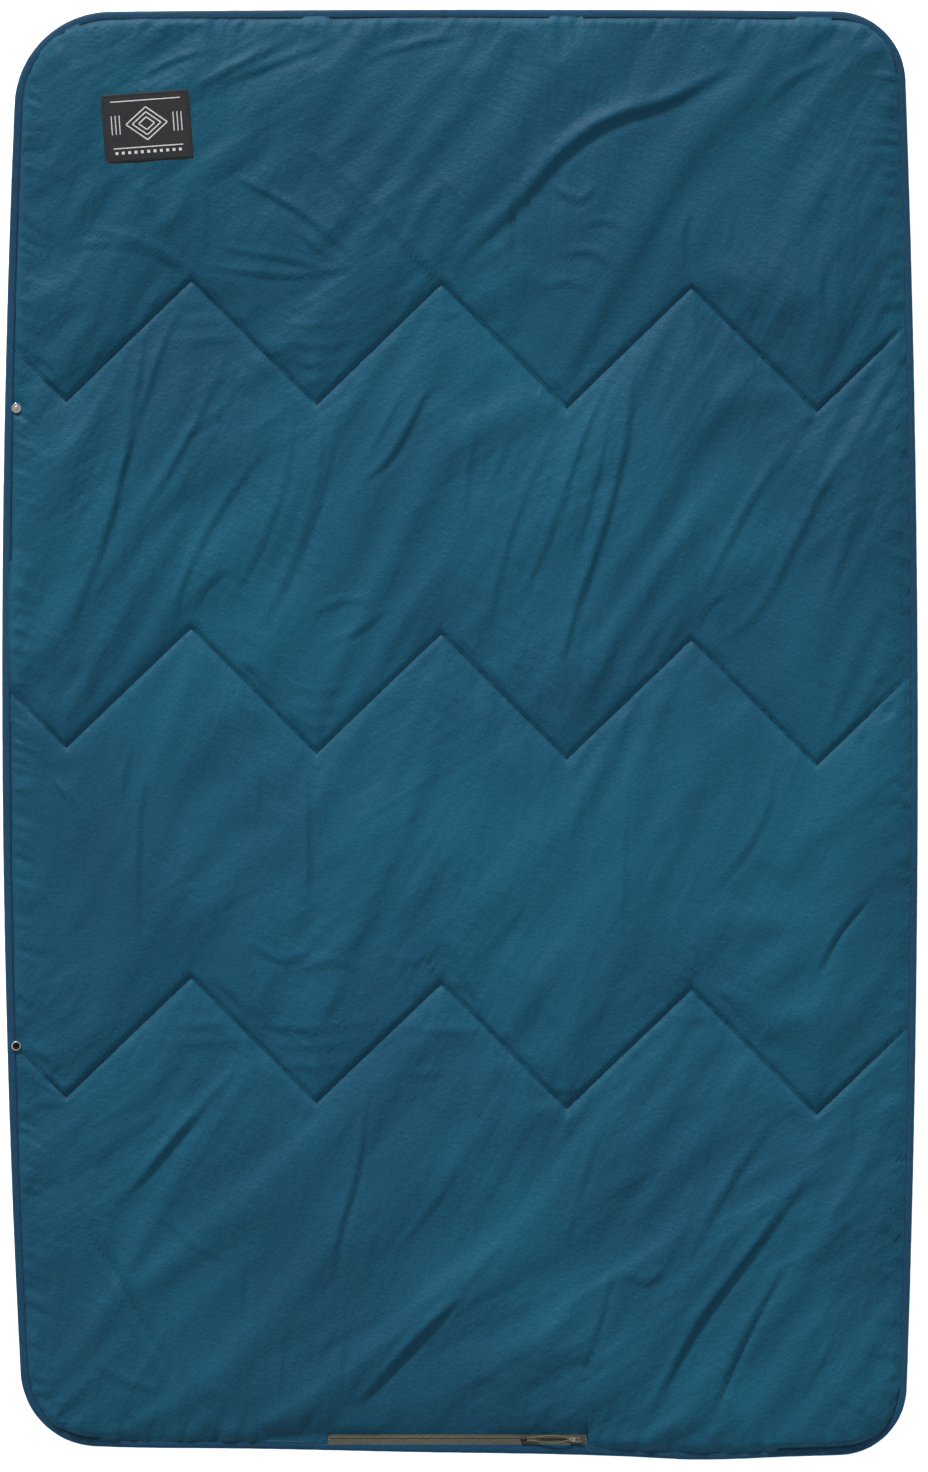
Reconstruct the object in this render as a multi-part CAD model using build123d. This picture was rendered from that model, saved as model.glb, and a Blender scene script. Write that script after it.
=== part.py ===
from build123d import *
import math
import os

# A quilted camp blanket that lies flat on its back face.
# Millimetres.  +X is across the blanket, +Y is towards the head edge, +Z is up, out of the front face.
# The origin is on the surface that it lies on, under the middle of its outline.

# ---------------------------------------------------------------- driving sizes
LENGTH = 1830.0            # head edge to foot edge
WIDTH = 1156.0             # side to side, at the widest
FOLD_Y = 9.3               # the line across which the blanket folds in half
FOLD_GAP = 1.0             # between the two halves of each cloth piece, along the fold
FOLD_RISE = 1.8            # the fold's axis above the highest loft, so that the folded halves lie clear

# Corner of the outline: (in from the widest point, in from the head or foot end, corner radius)
HEAD_LEFT = (21.0, 4.0, 122.0)
HEAD_RIGHT = (19.0, 3.0, 89.0)
FOOT_RIGHT = (17.0, 8.0, 87.0)
FOOT_LEFT = (28.0, 21.0, 99.0)
FOOT_LOWEST_X = 120.0      # where the foot edge comes down furthest

# Layers, from the surface up
CLOTH = 0.6                # shell fabric, with its folds
BACK_LOFT = 1.8            # how far the padding swells below the back seams
BACK_PLANE = 1.8           # underside of the back shell along its seams
WEB = 4.2                  # stitched-down padding along a seam
FRONT_LOFT = 14.0          # how far the padding swells above the front seams
SHOULDER = 0.62            # share of the loft that is reached near the seam
SHOULDER_IN = 13.0         # sideways, from the seam's valley to the shoulder
CROWN_IN = 46.0            # sideways, from the seam's valley to the flat crown
BACK_IN = 25.0             # sideways, the same on the back face

# Binding tape around the edge
BINDING_W = 10.0
BINDING_T = 0.8
EDGE_SLACK = 0.2           # between the binding's fold and the layers inside it
EDGE_FLAT = 20.0           # unpadded margin at the sides and the head
FOOT_FLAT = 43.0           # unpadded margin at the foot, which holds the zip
THREAD_W = 1.2
THREAD_T = 0.4
THREAD_END = 0.5           # from a quilting seam's end to the binding
BINDING_STITCH_IN = 7.5    # the binding's stitch line, from the edge

# Zigzag quilting
ROW_PITCH = 441.0
MIDDLE_ROW_Y = 50.0
ROW_TILT = (-0.8, -1.35, -1.35)   # degrees, from head to foot
ZIGZAG_PITCH = 315.5
ZIGZAG_DEPTH = 155.0
PEAK_X = -24.0
SEAM_HALF = 6.0            # half of the flat valley along a seam

# Snap fasteners, size 20
SNAP_SPACING = 804.4       # stud to socket, half on each side of the fold
SNAP_IN = 12.28            # from the left edge, at the snap where that edge is nearer
SNAP_R = 6.0
SNAP_PLATE = 0.6
SNAP_CAP_T = 0.8
SNAP_POST_R = 1.9
SNAP_HOLE_GAP = 0.2
STUD_R = 2.1
STUD_H = 2.2
SOCKET_CLEARANCE = 0.1
SOCKET_DEPTH = 2.4
SOCKET_RIM_IN = 3.8        # inner radius of the raised rim
SOCKET_RIM_H = 1.6
SOCKET_COLLAR_R = 3.0

# Woven label on the head half
LABEL_W = 111.0
LABEL_H = 87.0
LABEL_T = 0.7
LABEL_FROM_LEFT = 184.0    # its middle, from the widest point of the left edge
LABEL_FROM_HEAD = 150.0    # its middle, from the head end
LABEL_TILT = 4.2
LABEL_CORNER = 3.0
LABEL_HEM = 3.0

# Pocket zip, reversed coil
ZIP_LEN = 327.0
ZIP_X = -3.5
ZIP_FROM_FOOT = 26.0       # its centre line, from the foot end
ZIP_WINDOW = 6.5           # half of the opening in the shell
ZIP_TAIL = 10.0            # tape that runs on under the shell
TAPE_T = 0.6
TAPE_UPPER_W = 13.0
TAPE_LOWER_W = 8.0
ZIP_SLIT = 0.8             # half of the slit between the tapes
COIL_T = 1.6
COIL_W = 2.4
COIL_TOOTH = 0.8
COIL_PITCH = 3.0
STOP_LEN = 2.5
STOP_LIP = 0.3             # the stop past the coil, below and to each side
FIT = 0.3                  # running clearance of the slider
CUT = 1.0                  # how far a cutting shape runs past what it cuts
SLIVER = 0.05              # a smaller overrun, where a cut must stay inside a thin layer
TIER = 0.01                # sideways, from a pad's sunk border to its first tier

# Slider and pull
SLIDER_LEN = 11.5
SLIDER_W = 9.6
SLIDER_PLATE = 1.0
SLIDER_CORNER = 1.6
SLIDER_POST_LEN = 3.5
SLIDER_END_GAP = 1.0
BRIDGE_W = 1.6
BRIDGE_T = 0.9
BRIDGE_LEN = 9.0
BRIDGE_ROUND = 1.2
PULL_PIN_R = 0.7
PULL_PIN_GAP = 0.6
PULL_T = 1.4
PULL_W = 5.0
PULL_ARM_W = 0.7
PULL_ARM_LEN = 5.5
PULL_LEN = 12.8
PULL_EYE_R = 1.5
PULL_EYE_X = 9.5
PULL_ROUND = 1.6
PULL_CLEARANCE = 0.2       # under the knot, where it lies over the cloth past the zip
CORD_D = 1.8
KNOT = (9.0, 5.4, 4.4)
KNOT_DROP = 0.7
KNOT_ROUND = 1.2

# Pocket behind the zip
POCKET_CLOTH = 0.3
POCKET_DEPTH = 230.0
POCKET_SEAM = 1.5

# ---------------------------------------------------------------- sizes worked out from those
HALF_W = WIDTH / 2
HALF_L = LENGTH / 2
BACK_TOP = BACK_PLANE + CLOTH              # upper side of the back shell
WEB_TOP = BACK_TOP + WEB                   # underside of the front shell
FRONT_PLANE = WEB_TOP + CLOTH              # front of the shell along its seams
BINDING_TOP = FRONT_PLANE + BINDING_T
BINDING_FOOT = BACK_PLANE - BINDING_T
LOFT_TOP = FRONT_PLANE + FRONT_LOFT
FOLD_Z = LOFT_TOP + FOLD_RISE
LAYER_IN = BINDING_T + EDGE_SLACK
SNAP_Y = {"stud": FOLD_Y + SNAP_SPACING / 2, "socket": FOLD_Y - SNAP_SPACING / 2}
ZIP_Y = -HALF_L + ZIP_FROM_FOOT
TAPE_Z = WEB_TOP - TAPE_T
COIL_Z = TAPE_Z - COIL_T
SLIDER_TOP_Z = WEB_TOP + FIT
SLIDER_LOW_Z = COIL_Z - FIT - SLIDER_PLATE
SLIDER_X = ZIP_X + ZIP_LEN / 2 - STOP_LEN - SLIDER_END_GAP - SLIDER_LEN / 2
PULL_Z = FRONT_PLANE + PULL_CLEARANCE + KNOT[2] / 2 + KNOT_DROP
HALF_PITCH = ZIGZAG_PITCH / 2
# The first and last corners of every zigzag, counted from the peak: a corner too near the side is left out
FIRST_CORNER = math.ceil((-HALF_W + HALF_PITCH / 4 - PEAK_X) / HALF_PITCH)
LAST_CORNER = math.floor((HALF_W - HALF_PITCH / 4 - PEAK_X) / HALF_PITCH)
BIG = 4 * (LENGTH + WIDTH)


# ---------------------------------------------------------------- outline
def side_x(side, y, inset):
    """X of the left (-1) or right (+1) side at a height, that far in; the sides bow gently outward."""
    head, foot = (HEAD_LEFT[0], FOOT_LEFT[0]) if side < 0 else (HEAD_RIGHT[0], FOOT_RIGHT[0])
    along = y / HALF_L
    drawn_in = (head + foot) / 2 * along ** 2 + (head - foot) / 2 * along
    return side * (HALF_W - drawn_in - inset)


def corner(side, end):
    """The corner that the side and the end would meet in, and its radius."""
    inset, short, radius = {
        (-1, 1): HEAD_LEFT, (1, 1): HEAD_RIGHT, (1, -1): FOOT_RIGHT, (-1, -1): FOOT_LEFT,
    }[side, end]
    return (side * (HALF_W - inset), end * (HALF_L - short)), radius


def outline(inset=0.0):
    """The outline's face, that far in from the edge: four slightly bowed sides and round corners."""
    half_w, half_l = HALF_W - inset, HALF_L - inset
    middles = [(0, half_l), (-half_w, 0), (FOOT_LOWEST_X, -half_l), (half_w, 0)]
    corners = []
    for side, end in ((1, 1), (-1, 1), (-1, -1), (1, -1)):
        (x, y), radius = corner(side, end)
        corners.append(((x - side * inset, y - end * inset), radius - inset))
    points = [point for point, _ in corners]
    face = make_face([ThreePointArc(points[i], middles[i], points[(i + 1) % 4]) for i in range(4)])
    for point, radius in corners:
        nearest = min(face.vertices(), key=lambda v: math.dist((v.X, v.Y), point))
        face = fillet(nearest, radius)
    return face


def layer(inset, low, high):
    """A flat layer of the outline, that far in from the edge."""
    return Pos(0, 0, low) * extrude(outline(inset), amount=high - low)


def block(x, y, z):
    """A box from its lowest and highest values along each axis."""
    size = [b - a for a, b in (x, y, z)]
    return Pos((x[0] + x[1]) / 2, (y[0] + y[1]) / 2, (z[0] + z[1]) / 2) * Box(*size)


def rod(x, y, low, high, radius):
    return Pos(x, y, (low + high) / 2) * Cylinder(radius, high - low)


SNAP_X = max(side_x(-1, y, SNAP_IN) for y in SNAP_Y.values())
FOOT_SIDE = block((-BIG, BIG), (-BIG, FOLD_Y - FOLD_GAP / 2), (-BIG, BIG))
HEAD_SIDE = block((-BIG, BIG), (FOLD_Y + FOLD_GAP / 2, BIG), (-BIG, BIG))


# ---------------------------------------------------------------- quilting rows
def row_y(row, x):
    """Y of a zigzag seam; row 0 is nearest the head. Past its outer corners the seam runs on straight."""
    at = (x - PEAK_X) / HALF_PITCH
    before = min(max(math.floor(at), FIRST_CORNER - 1), LAST_CORNER)
    height = 0.5 - (at - before)
    middle = MIDDLE_ROW_Y + (1 - row) * ROW_PITCH + x * math.tan(math.radians(ROW_TILT[row]))
    return middle + ZIGZAG_DEPTH * (height if before % 2 == 0 else -height)


def row_end(row, side, inset, shift=0.0):
    """Where a seam, shifted along Y, meets the side that far in."""
    y = row_y(row, side * HALF_W)
    for _ in range(20):
        y = row_y(row, side_x(side, y, inset)) + shift
    return side_x(side, y, inset), y


def row_line(row, inset, shift=0.0):
    """A seam from side to side: its two ends and every corner between them."""
    left, right = row_end(row, -1, inset, shift), row_end(row, 1, inset, shift)
    corners = [PEAK_X + HALF_PITCH * k for k in range(FIRST_CORNER, LAST_CORNER + 1)]
    return [left] + [(x, row_y(row, x) + shift) for x in corners] + [right]


def pad_end(end, inset):
    """The padded area's border at the head (+1) or foot (-1), left to right, with round corners."""
    margin = inset + (FOOT_FLAT - EDGE_FLAT if end < 0 else 0)
    line = []
    for side in (-1, 1):
        (_, y), radius = corner(side, end)
        round_r = radius - EDGE_FLAT
        cy = y - end * (radius + margin - EDGE_FLAT)
        cx = side_x(side, cy, inset) - side * round_r
        turns = [math.radians(a) for a in (0, 30, 60, 90)]
        arc = [(cx + side * round_r * math.cos(a), cy + end * round_r * math.sin(a)) for a in turns]
        line += arc if side < 0 else arc[::-1]
    return line


def drawn_in(points, distance):
    """A closed polygon with every side moved inward, its corners kept sharp."""
    moved = []
    for i, here in enumerate(points):
        before, after = Vector(*points[i - 1]), Vector(*points[(i + 1) % len(points)])
        a = (Vector(*here) - before).normalized()
        b = (after - Vector(*here)).normalized()
        left_a, left_b = Vector(-a.Y, a.X), Vector(-b.Y, b.X)
        shift = (left_a + left_b) * (distance / (1 + left_a.dot(left_b)))
        moved.append((here[0] + shift.X, here[1] + shift.Y))
    return moved


def pad_border(band):
    """The valley-side border of a padded band, anticlockwise; band 0 is at the head."""
    seam = SEAM_HALF * math.sqrt(2)
    upper = pad_end(1, EDGE_FLAT) if band == 0 else row_line(band - 1, EDGE_FLAT, -seam)
    lower = pad_end(-1, EDGE_FLAT) if band == 3 else row_line(band, EDGE_FLAT, seam)
    return lower + upper[::-1]


def pad(band, levels):
    """A padded band as flat-sided tiers: each level is (how far in from the border, its height)."""
    wires = [
        Wire.make_polygon([(x, y, z) for x, y in drawn_in(pad_border(band), inset)], close=True)
        for inset, z in levels
    ]
    return Solid.make_loft(wires, ruled=True)


def front_pads(lift):
    shoulder = WEB_TOP + SHOULDER * FRONT_LOFT
    levels = [(0, WEB_TOP - CUT), (TIER, WEB_TOP), (SHOULDER_IN, shoulder), (CROWN_IN, WEB_TOP + FRONT_LOFT)]
    return [pad(band, [(inset, z + lift) for inset, z in levels]) for band in range(4)]


def back_pads(drop):
    levels = [(0, BACK_TOP + CUT), (TIER, BACK_TOP), (BACK_IN, BACK_TOP - BACK_LOFT)]
    return [pad(band, [(inset, z - drop) for inset, z in levels][::-1]) for band in range(4)]


def thread(points, low, high):
    """A flat run of thread along a line of points."""
    offset_y = THREAD_W / math.sqrt(2)
    upper = [(x, y + offset_y) for x, y in points]
    lower = [(x, y - offset_y) for x, y in points]
    ribbon = make_face(Polyline(*(lower + upper[::-1]), close=True))
    return Pos(0, 0, low) * extrude(ribbon, amount=high - low)


def snap_holes():
    radius = SNAP_POST_R + SNAP_HOLE_GAP
    return [rod(SNAP_X, y, -CUT, BINDING_TOP + CUT, radius) for y in SNAP_Y.values()]


def snap_room():
    """Around each snap: no thread runs there."""
    return [rod(SNAP_X, y, -CUT, BINDING_TOP + CUT, SNAP_R + FIT) for y in SNAP_Y.values()]


def stitches(points):
    """The same seam on the front and on the back face."""
    front = thread(points, FRONT_PLANE, FRONT_PLANE + THREAD_T)
    back = thread(points, BACK_PLANE - THREAD_T, BACK_PLANE)
    return front + back - snap_room()


# ---------------------------------------------------------------- cloth layers
zip_x = (ZIP_X - ZIP_LEN / 2, ZIP_X + ZIP_LEN / 2)
tape_x = (zip_x[0] - ZIP_TAIL, zip_x[1] + ZIP_TAIL)
zip_window = block(zip_x, (ZIP_Y - ZIP_WINDOW, ZIP_Y + ZIP_WINDOW), (WEB_TOP - SLIVER, BINDING_TOP + CUT))
zip_well = block(
    (tape_x[0] - FIT, tape_x[1] + FIT), (-BIG, ZIP_Y + TAPE_UPPER_W + POCKET_CLOTH),
    (BACK_TOP - BACK_LOFT - CUT, WEB_TOP + CUT),
)
pocket_x = (zip_x[0] - POCKET_SEAM, zip_x[1] + POCKET_SEAM)
pocket_y = (ZIP_Y + TAPE_UPPER_W, ZIP_Y + TAPE_UPPER_W + POCKET_DEPTH)
pocket_top = BACK_TOP + 2 * POCKET_CLOTH
pocket_room = block(
    (pocket_x[0] - POCKET_SEAM, pocket_x[1] + POCKET_SEAM), (pocket_y[0] - CUT, pocket_y[1] + POCKET_SEAM),
    (BACK_TOP - BACK_LOFT - CUT, pocket_top),
)

upper_form = layer(LAYER_IN, BACK_TOP + CUT, WEB_TOP) + front_pads(0)
upper_skin = layer(LAYER_IN, BACK_TOP + CUT + CLOTH, FRONT_PLANE) + front_pads(CLOTH)
lower_form = layer(LAYER_IN, BACK_TOP, WEB_TOP - CUT) + back_pads(0)
lower_skin = layer(LAYER_IN, BACK_PLANE, WEB_TOP - CUT - CLOTH) + back_pads(CLOTH)

front_shell = upper_skin - upper_form - zip_window - snap_holes()
back_shell = lower_skin - lower_form - snap_holes()
insulation = (upper_form + lower_form) - zip_well - pocket_room - snap_holes()

binding = (
    layer(0, BINDING_FOOT, BINDING_TOP)
    - layer(BINDING_T, BACK_PLANE, FRONT_PLANE)
    - layer(BINDING_W, BINDING_FOOT - CUT, BINDING_TOP + CUT)
    - zip_window
    - snap_holes()
)
binding_stitch = (
    layer(BINDING_STITCH_IN - THREAD_W / 2, BINDING_TOP, BINDING_TOP + THREAD_T)
    + layer(BINDING_STITCH_IN - THREAD_W / 2, BINDING_FOOT - THREAD_T, BINDING_FOOT)
    - layer(BINDING_STITCH_IN + THREAD_W / 2, BINDING_FOOT - CUT, BINDING_TOP + CUT)
    - zip_window
    - snap_room()
)
row_2 = stitches(row_line(1, BINDING_W + THREAD_END))

nodes = {}
for name, whole in (
    ("front_shell", front_shell), ("back_shell", back_shell), ("insulation", insulation),
    ("edge_binding", binding), ("binding_stitch", binding_stitch), ("quilting_stitch_2", row_2),
):
    nodes[name + "_foot"] = whole & FOOT_SIDE
    nodes[name + "_head"] = whole & HEAD_SIDE
nodes["quilting_stitch_1"] = stitches(row_line(0, BINDING_W + THREAD_END))
nodes["quilting_stitch_3"] = stitches(row_line(2, BINDING_W + THREAD_END))


# ---------------------------------------------------------------- label
label_at = Pos(-HALF_W + LABEL_FROM_LEFT, HALF_L - LABEL_FROM_HEAD, LOFT_TOP) * Rot(0, 0, LABEL_TILT)
label_edge = RectangleRounded(LABEL_W - 2 * LABEL_HEM, LABEL_H - 2 * LABEL_HEM, LABEL_CORNER)
nodes["label"] = label_at * extrude(RectangleRounded(LABEL_W, LABEL_H, LABEL_CORNER), amount=LABEL_T)
nodes["label_stitch"] = label_at * Pos(0, 0, LABEL_T) * extrude(
    label_edge - offset(label_edge, amount=-THREAD_W), amount=THREAD_T
)


# ---------------------------------------------------------------- snap fasteners
def snap_cap(y):
    """The back half of a snap: a disc under the cloth with a post that goes up through it."""
    disc = rod(SNAP_X, y, BINDING_FOOT - SNAP_CAP_T, BINDING_FOOT, SNAP_R)
    return disc + rod(SNAP_X, y, BINDING_FOOT, BINDING_TOP + SNAP_PLATE, SNAP_POST_R)


def snap_plate(y):
    plate = rod(SNAP_X, y, BINDING_TOP, BINDING_TOP + SNAP_PLATE, SNAP_R)
    return plate - rod(SNAP_X, y, BINDING_TOP - CUT, BINDING_TOP + SNAP_PLATE + CUT, SNAP_POST_R)


def snap_socket(y):
    floor, bore_r = BINDING_TOP + SNAP_PLATE, STUD_R + SOCKET_CLEARANCE
    high = floor + SOCKET_DEPTH + CUT
    rim = rod(SNAP_X, y, floor, floor + SOCKET_RIM_H, SNAP_R)
    rim -= rod(SNAP_X, y, floor, high, SOCKET_RIM_IN)
    collar = rod(SNAP_X, y, floor, floor + SOCKET_DEPTH, SOCKET_COLLAR_R)
    collar -= rod(SNAP_X, y, floor, high, bore_r)
    return snap_plate(y) + rim + collar


def snap_stud(y):
    floor = BINDING_TOP + SNAP_PLATE
    return snap_plate(y) + rod(SNAP_X, y, floor, floor + STUD_H, STUD_R)


nodes["snap_socket"] = snap_socket(SNAP_Y["socket"])
nodes["snap_socket_cap"] = snap_cap(SNAP_Y["socket"])
nodes["snap_stud"] = snap_stud(SNAP_Y["stud"])
nodes["snap_stud_cap"] = snap_cap(SNAP_Y["stud"])


# ---------------------------------------------------------------- zip
def coil(side):
    """One row of reversed coil under its tape, as a comb whose teeth point at the slit."""
    near, root, far = ZIP_SLIT, ZIP_SLIT + COIL_TOOTH, ZIP_SLIT + COIL_W
    count = int(ZIP_LEN / COIL_PITCH)
    start = ZIP_X - count * COIL_PITCH / 2
    comb = [(start, far)]
    for k in range(count):
        x = start + k * COIL_PITCH
        comb += [(x, root), (x + COIL_PITCH / 4, root), (x + COIL_PITCH / 4, near),
                 (x + COIL_PITCH * 3 / 4, near), (x + COIL_PITCH * 3 / 4, root)]
    comb += [(start + count * COIL_PITCH, root), (start + count * COIL_PITCH, far)]
    comb = [(x, ZIP_Y + side * y) for x, y in dict.fromkeys(comb)]
    return Pos(0, 0, COIL_Z) * extrude(make_face(Polyline(*comb, close=True)), amount=COIL_T, dir=(0, 0, 1))


def stop(x):
    """A crimped stop under both tapes; the coil ends inside it."""
    reach = ZIP_SLIT + COIL_W + STOP_LIP
    span = (x - STOP_LEN / 2, x + STOP_LEN / 2)
    return block(span, (ZIP_Y - reach, ZIP_Y + reach), (COIL_Z - STOP_LIP, TAPE_Z))


stop_x = {"left": zip_x[0] + STOP_LEN / 2, "right": zip_x[1] - STOP_LEN / 2}
inside = layer(LAYER_IN, BACK_TOP, WEB_TOP)
nodes["zip_tape_upper"] = block(tape_x, (ZIP_Y + ZIP_SLIT, ZIP_Y + TAPE_UPPER_W), (TAPE_Z, WEB_TOP))
nodes["zip_tape_lower"] = block(tape_x, (ZIP_Y - TAPE_LOWER_W, ZIP_Y - ZIP_SLIT), (TAPE_Z, WEB_TOP)) & inside
stops = [stop(x) for x in stop_x.values()]
nodes["zip_coil_upper"] = coil(1) - stops
nodes["zip_coil_lower"] = coil(-1) - stops
nodes["zip_stop_left"], nodes["zip_stop_right"] = stops

stitch_y = ZIP_Y + ZIP_WINDOW + THREAD_W
nodes["zip_stitch"] = block(
    (zip_x[0] - THREAD_W, zip_x[1] + THREAD_W), (stitch_y, stitch_y + THREAD_W),
    (FRONT_PLANE, FRONT_PLANE + THREAD_T),
)

# Pocket bag: each panel turns up to its tape and runs on flat under the padding
low, middle, high = BACK_TOP, BACK_TOP + POCKET_CLOTH, pocket_top
foot_wall_y = ZIP_Y - TAPE_LOWER_W + POCKET_CLOTH
front_panel = block(pocket_x, pocket_y, (middle, high))
front_panel += block(pocket_x, (pocket_y[0], pocket_y[0] + POCKET_CLOTH), (high, WEB_TOP))
back_panel = block(pocket_x, (foot_wall_y, pocket_y[1]), (low, middle))
back_panel += block(pocket_x, (foot_wall_y, foot_wall_y + POCKET_CLOTH), (middle, TAPE_Z))
nodes["pocket_front_panel"] = front_panel
nodes["pocket_back_panel"] = back_panel & inside
nodes["pocket_seam"] = block(
    (pocket_x[0] - POCKET_SEAM, pocket_x[1] + POCKET_SEAM), (pocket_y[0], pocket_y[1] + POCKET_SEAM),
    (low, high),
) - block(pocket_x, (pocket_y[0] - CUT, pocket_y[1]), (low - CUT, high + CUT))


# ---------------------------------------------------------------- slider
def make_slider():
    plate = RectangleRounded(SLIDER_LEN, SLIDER_W, SLIDER_CORNER)
    top = Pos(0, 0, SLIDER_TOP_Z) * extrude(plate, amount=SLIDER_PLATE)
    bottom = Pos(0, 0, SLIDER_LOW_Z) * extrude(plate, amount=SLIDER_PLATE)
    channel = 2 * (ZIP_SLIT + COIL_W + FIT)
    walls = Pos(0, 0, SLIDER_LOW_Z) * extrude(plate, amount=TAPE_Z - FIT - SLIDER_LOW_Z)
    walls -= block((-SLIDER_LEN, SLIDER_LEN), (-channel / 2, channel / 2), (SLIDER_LOW_Z - CUT, TAPE_Z))
    post_end = SLIDER_LEN / 2 - SLIDER_PLATE
    post_y = ZIP_SLIT - FIT
    post = block((post_end - SLIDER_POST_LEN, post_end), (-post_y, post_y), (SLIDER_LOW_Z, SLIDER_TOP_Z))
    bridge_low = PULL_Z + PULL_PIN_R + PULL_PIN_GAP
    arch = block(
        (-BRIDGE_LEN / 2, BRIDGE_LEN / 2), (-BRIDGE_W / 2, BRIDGE_W / 2),
        (SLIDER_TOP_Z, bridge_low + BRIDGE_T),
    )
    arch = fillet(arch.edges().filter_by(Axis.Y).sort_by(Axis.Z)[-2:], BRIDGE_ROUND)
    inner = BRIDGE_LEN / 2 - BRIDGE_T
    arch -= block((-inner, inner), (-BRIDGE_W, BRIDGE_W), (SLIDER_TOP_Z + SLIDER_PLATE, bridge_low))
    return Pos(SLIDER_X, ZIP_Y, 0) * (top + bottom + walls + post + arch)


nodes["zip_slider"] = make_slider()


# ---------------------------------------------------------------- pull tab, cord and knot, about its pin
pull_at = Pos(SLIDER_X, ZIP_Y, PULL_Z)

half = PULL_W / 2
plate = block((-PULL_LEN, -PULL_ARM_LEN), (-half, half), (-PULL_T / 2, PULL_T / 2))
plate = fillet(plate.edges().filter_by(Axis.Z).sort_by(Axis.X)[:2], PULL_ROUND)
arm_x = (-PULL_ARM_LEN - SLIVER, 0)
arms = [
    block(arm_x, arm_y, (-PULL_PIN_R, PULL_PIN_R))
    for arm_y in ((-half, PULL_ARM_W - half), (half - PULL_ARM_W, half))
]
pin = Rot(90, 0, 0) * Cylinder(PULL_PIN_R, PULL_W)
eye = Pos(-PULL_EYE_X, 0, 0) * Cylinder(PULL_EYE_R, PULL_T + 2 * CUT)
nodes["zip_pull_tab"] = pull_at * (plate + arms + pin - eye)

knot_face = -66.0
# The loop's route: from the knot to the eye, down through it, and back to the knot
route = [
    (knot_face, -1.4, -0.5), (-57.0, -1.7, -0.3), (-44.0, -3.8, 0.3), (-31.0, -4.4, 1.2), (-21.0, -2.7, 2.0),
    (-14.5, -0.8, 2.2), (-PULL_EYE_X, 0.0, 2.0), (-PULL_EYE_X, 0.0, -2.0), (-14.5, 0.8, -2.0),
    (-21.0, 2.5, -1.9), (-31.0, 4.5, -1.6), (-44.0, 4.0, -1.3), (-57.0, 1.8, -1.1), (knot_face, 1.4, -1.0),
]


def corner_radii(points):
    """Each corner's arc: 0.45 of its shorter run, divided by the tangent of half the turn."""
    radii = []
    for before, here, after in zip(points, points[1:], points[2:]):
        arriving, leaving = Vector(*here) - Vector(*before), Vector(*after) - Vector(*here)
        turn = math.radians(arriving.get_angle(leaving))
        radii.append(0.45 * min(arriving.length, leaving.length) / math.tan(turn / 2))
    return radii


radii = corner_radii(route)
print("cord radii", [round(r, 1) for r in radii])
line = FilletPolyline(*route, radius=radii)
tube = sweep(Plane(line @ 0, z_dir=line % 0) * Circle(CORD_D / 2), path=line)
print("cord length", round(line.length, 1), "volume", round(tube.volume, 1),
      "section x length", round(math.pi * CORD_D ** 2 / 4 * line.length, 1))
nodes["zip_pull_cord"] = pull_at * tube
knot = fillet(Box(*KNOT).edges(), KNOT_ROUND)
nodes["zip_pull_knot"] = pull_at * Pos(knot_face - KNOT[0] / 2, 0, -KNOT_DROP) * knot

print("fold", FOLD_Y, FOLD_Z, "slider", SLIDER_X, ZIP_Y, "pull z", PULL_Z,
      "travel", SLIDER_X - (zip_x[0] + STOP_LEN + SLIDER_END_GAP + SLIDER_LEN / 2),
      "snap", SNAP_X, SNAP_Y, "plate top", BINDING_TOP + SNAP_PLATE)

os.makedirs("parts", exist_ok=True)
for name, shape in nodes.items():
    export_step(shape, f"parts/{name}.step")
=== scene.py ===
"""A padded camp blanket that lies flat with its front face up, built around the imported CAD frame.

X runs across the blanket and Y from its foot to its head. Shapes are worked out in millimetres, and become
metres when a mesh is made.
"""
import math

import bmesh
import bpy
import numpy as np
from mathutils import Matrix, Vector, noise


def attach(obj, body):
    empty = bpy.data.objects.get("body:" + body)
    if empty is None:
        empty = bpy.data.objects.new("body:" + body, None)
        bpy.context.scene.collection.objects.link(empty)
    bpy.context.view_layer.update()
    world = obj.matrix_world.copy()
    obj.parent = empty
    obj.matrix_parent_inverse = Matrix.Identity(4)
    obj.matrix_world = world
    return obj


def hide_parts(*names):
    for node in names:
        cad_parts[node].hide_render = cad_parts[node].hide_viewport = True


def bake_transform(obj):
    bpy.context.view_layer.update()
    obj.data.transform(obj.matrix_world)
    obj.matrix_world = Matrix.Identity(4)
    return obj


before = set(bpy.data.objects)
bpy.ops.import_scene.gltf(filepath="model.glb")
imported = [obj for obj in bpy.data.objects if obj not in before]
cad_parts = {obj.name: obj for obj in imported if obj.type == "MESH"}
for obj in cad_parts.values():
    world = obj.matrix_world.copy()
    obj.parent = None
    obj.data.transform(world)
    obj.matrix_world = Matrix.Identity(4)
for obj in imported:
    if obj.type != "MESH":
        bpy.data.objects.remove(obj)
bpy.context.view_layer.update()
MM = 0.001

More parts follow.
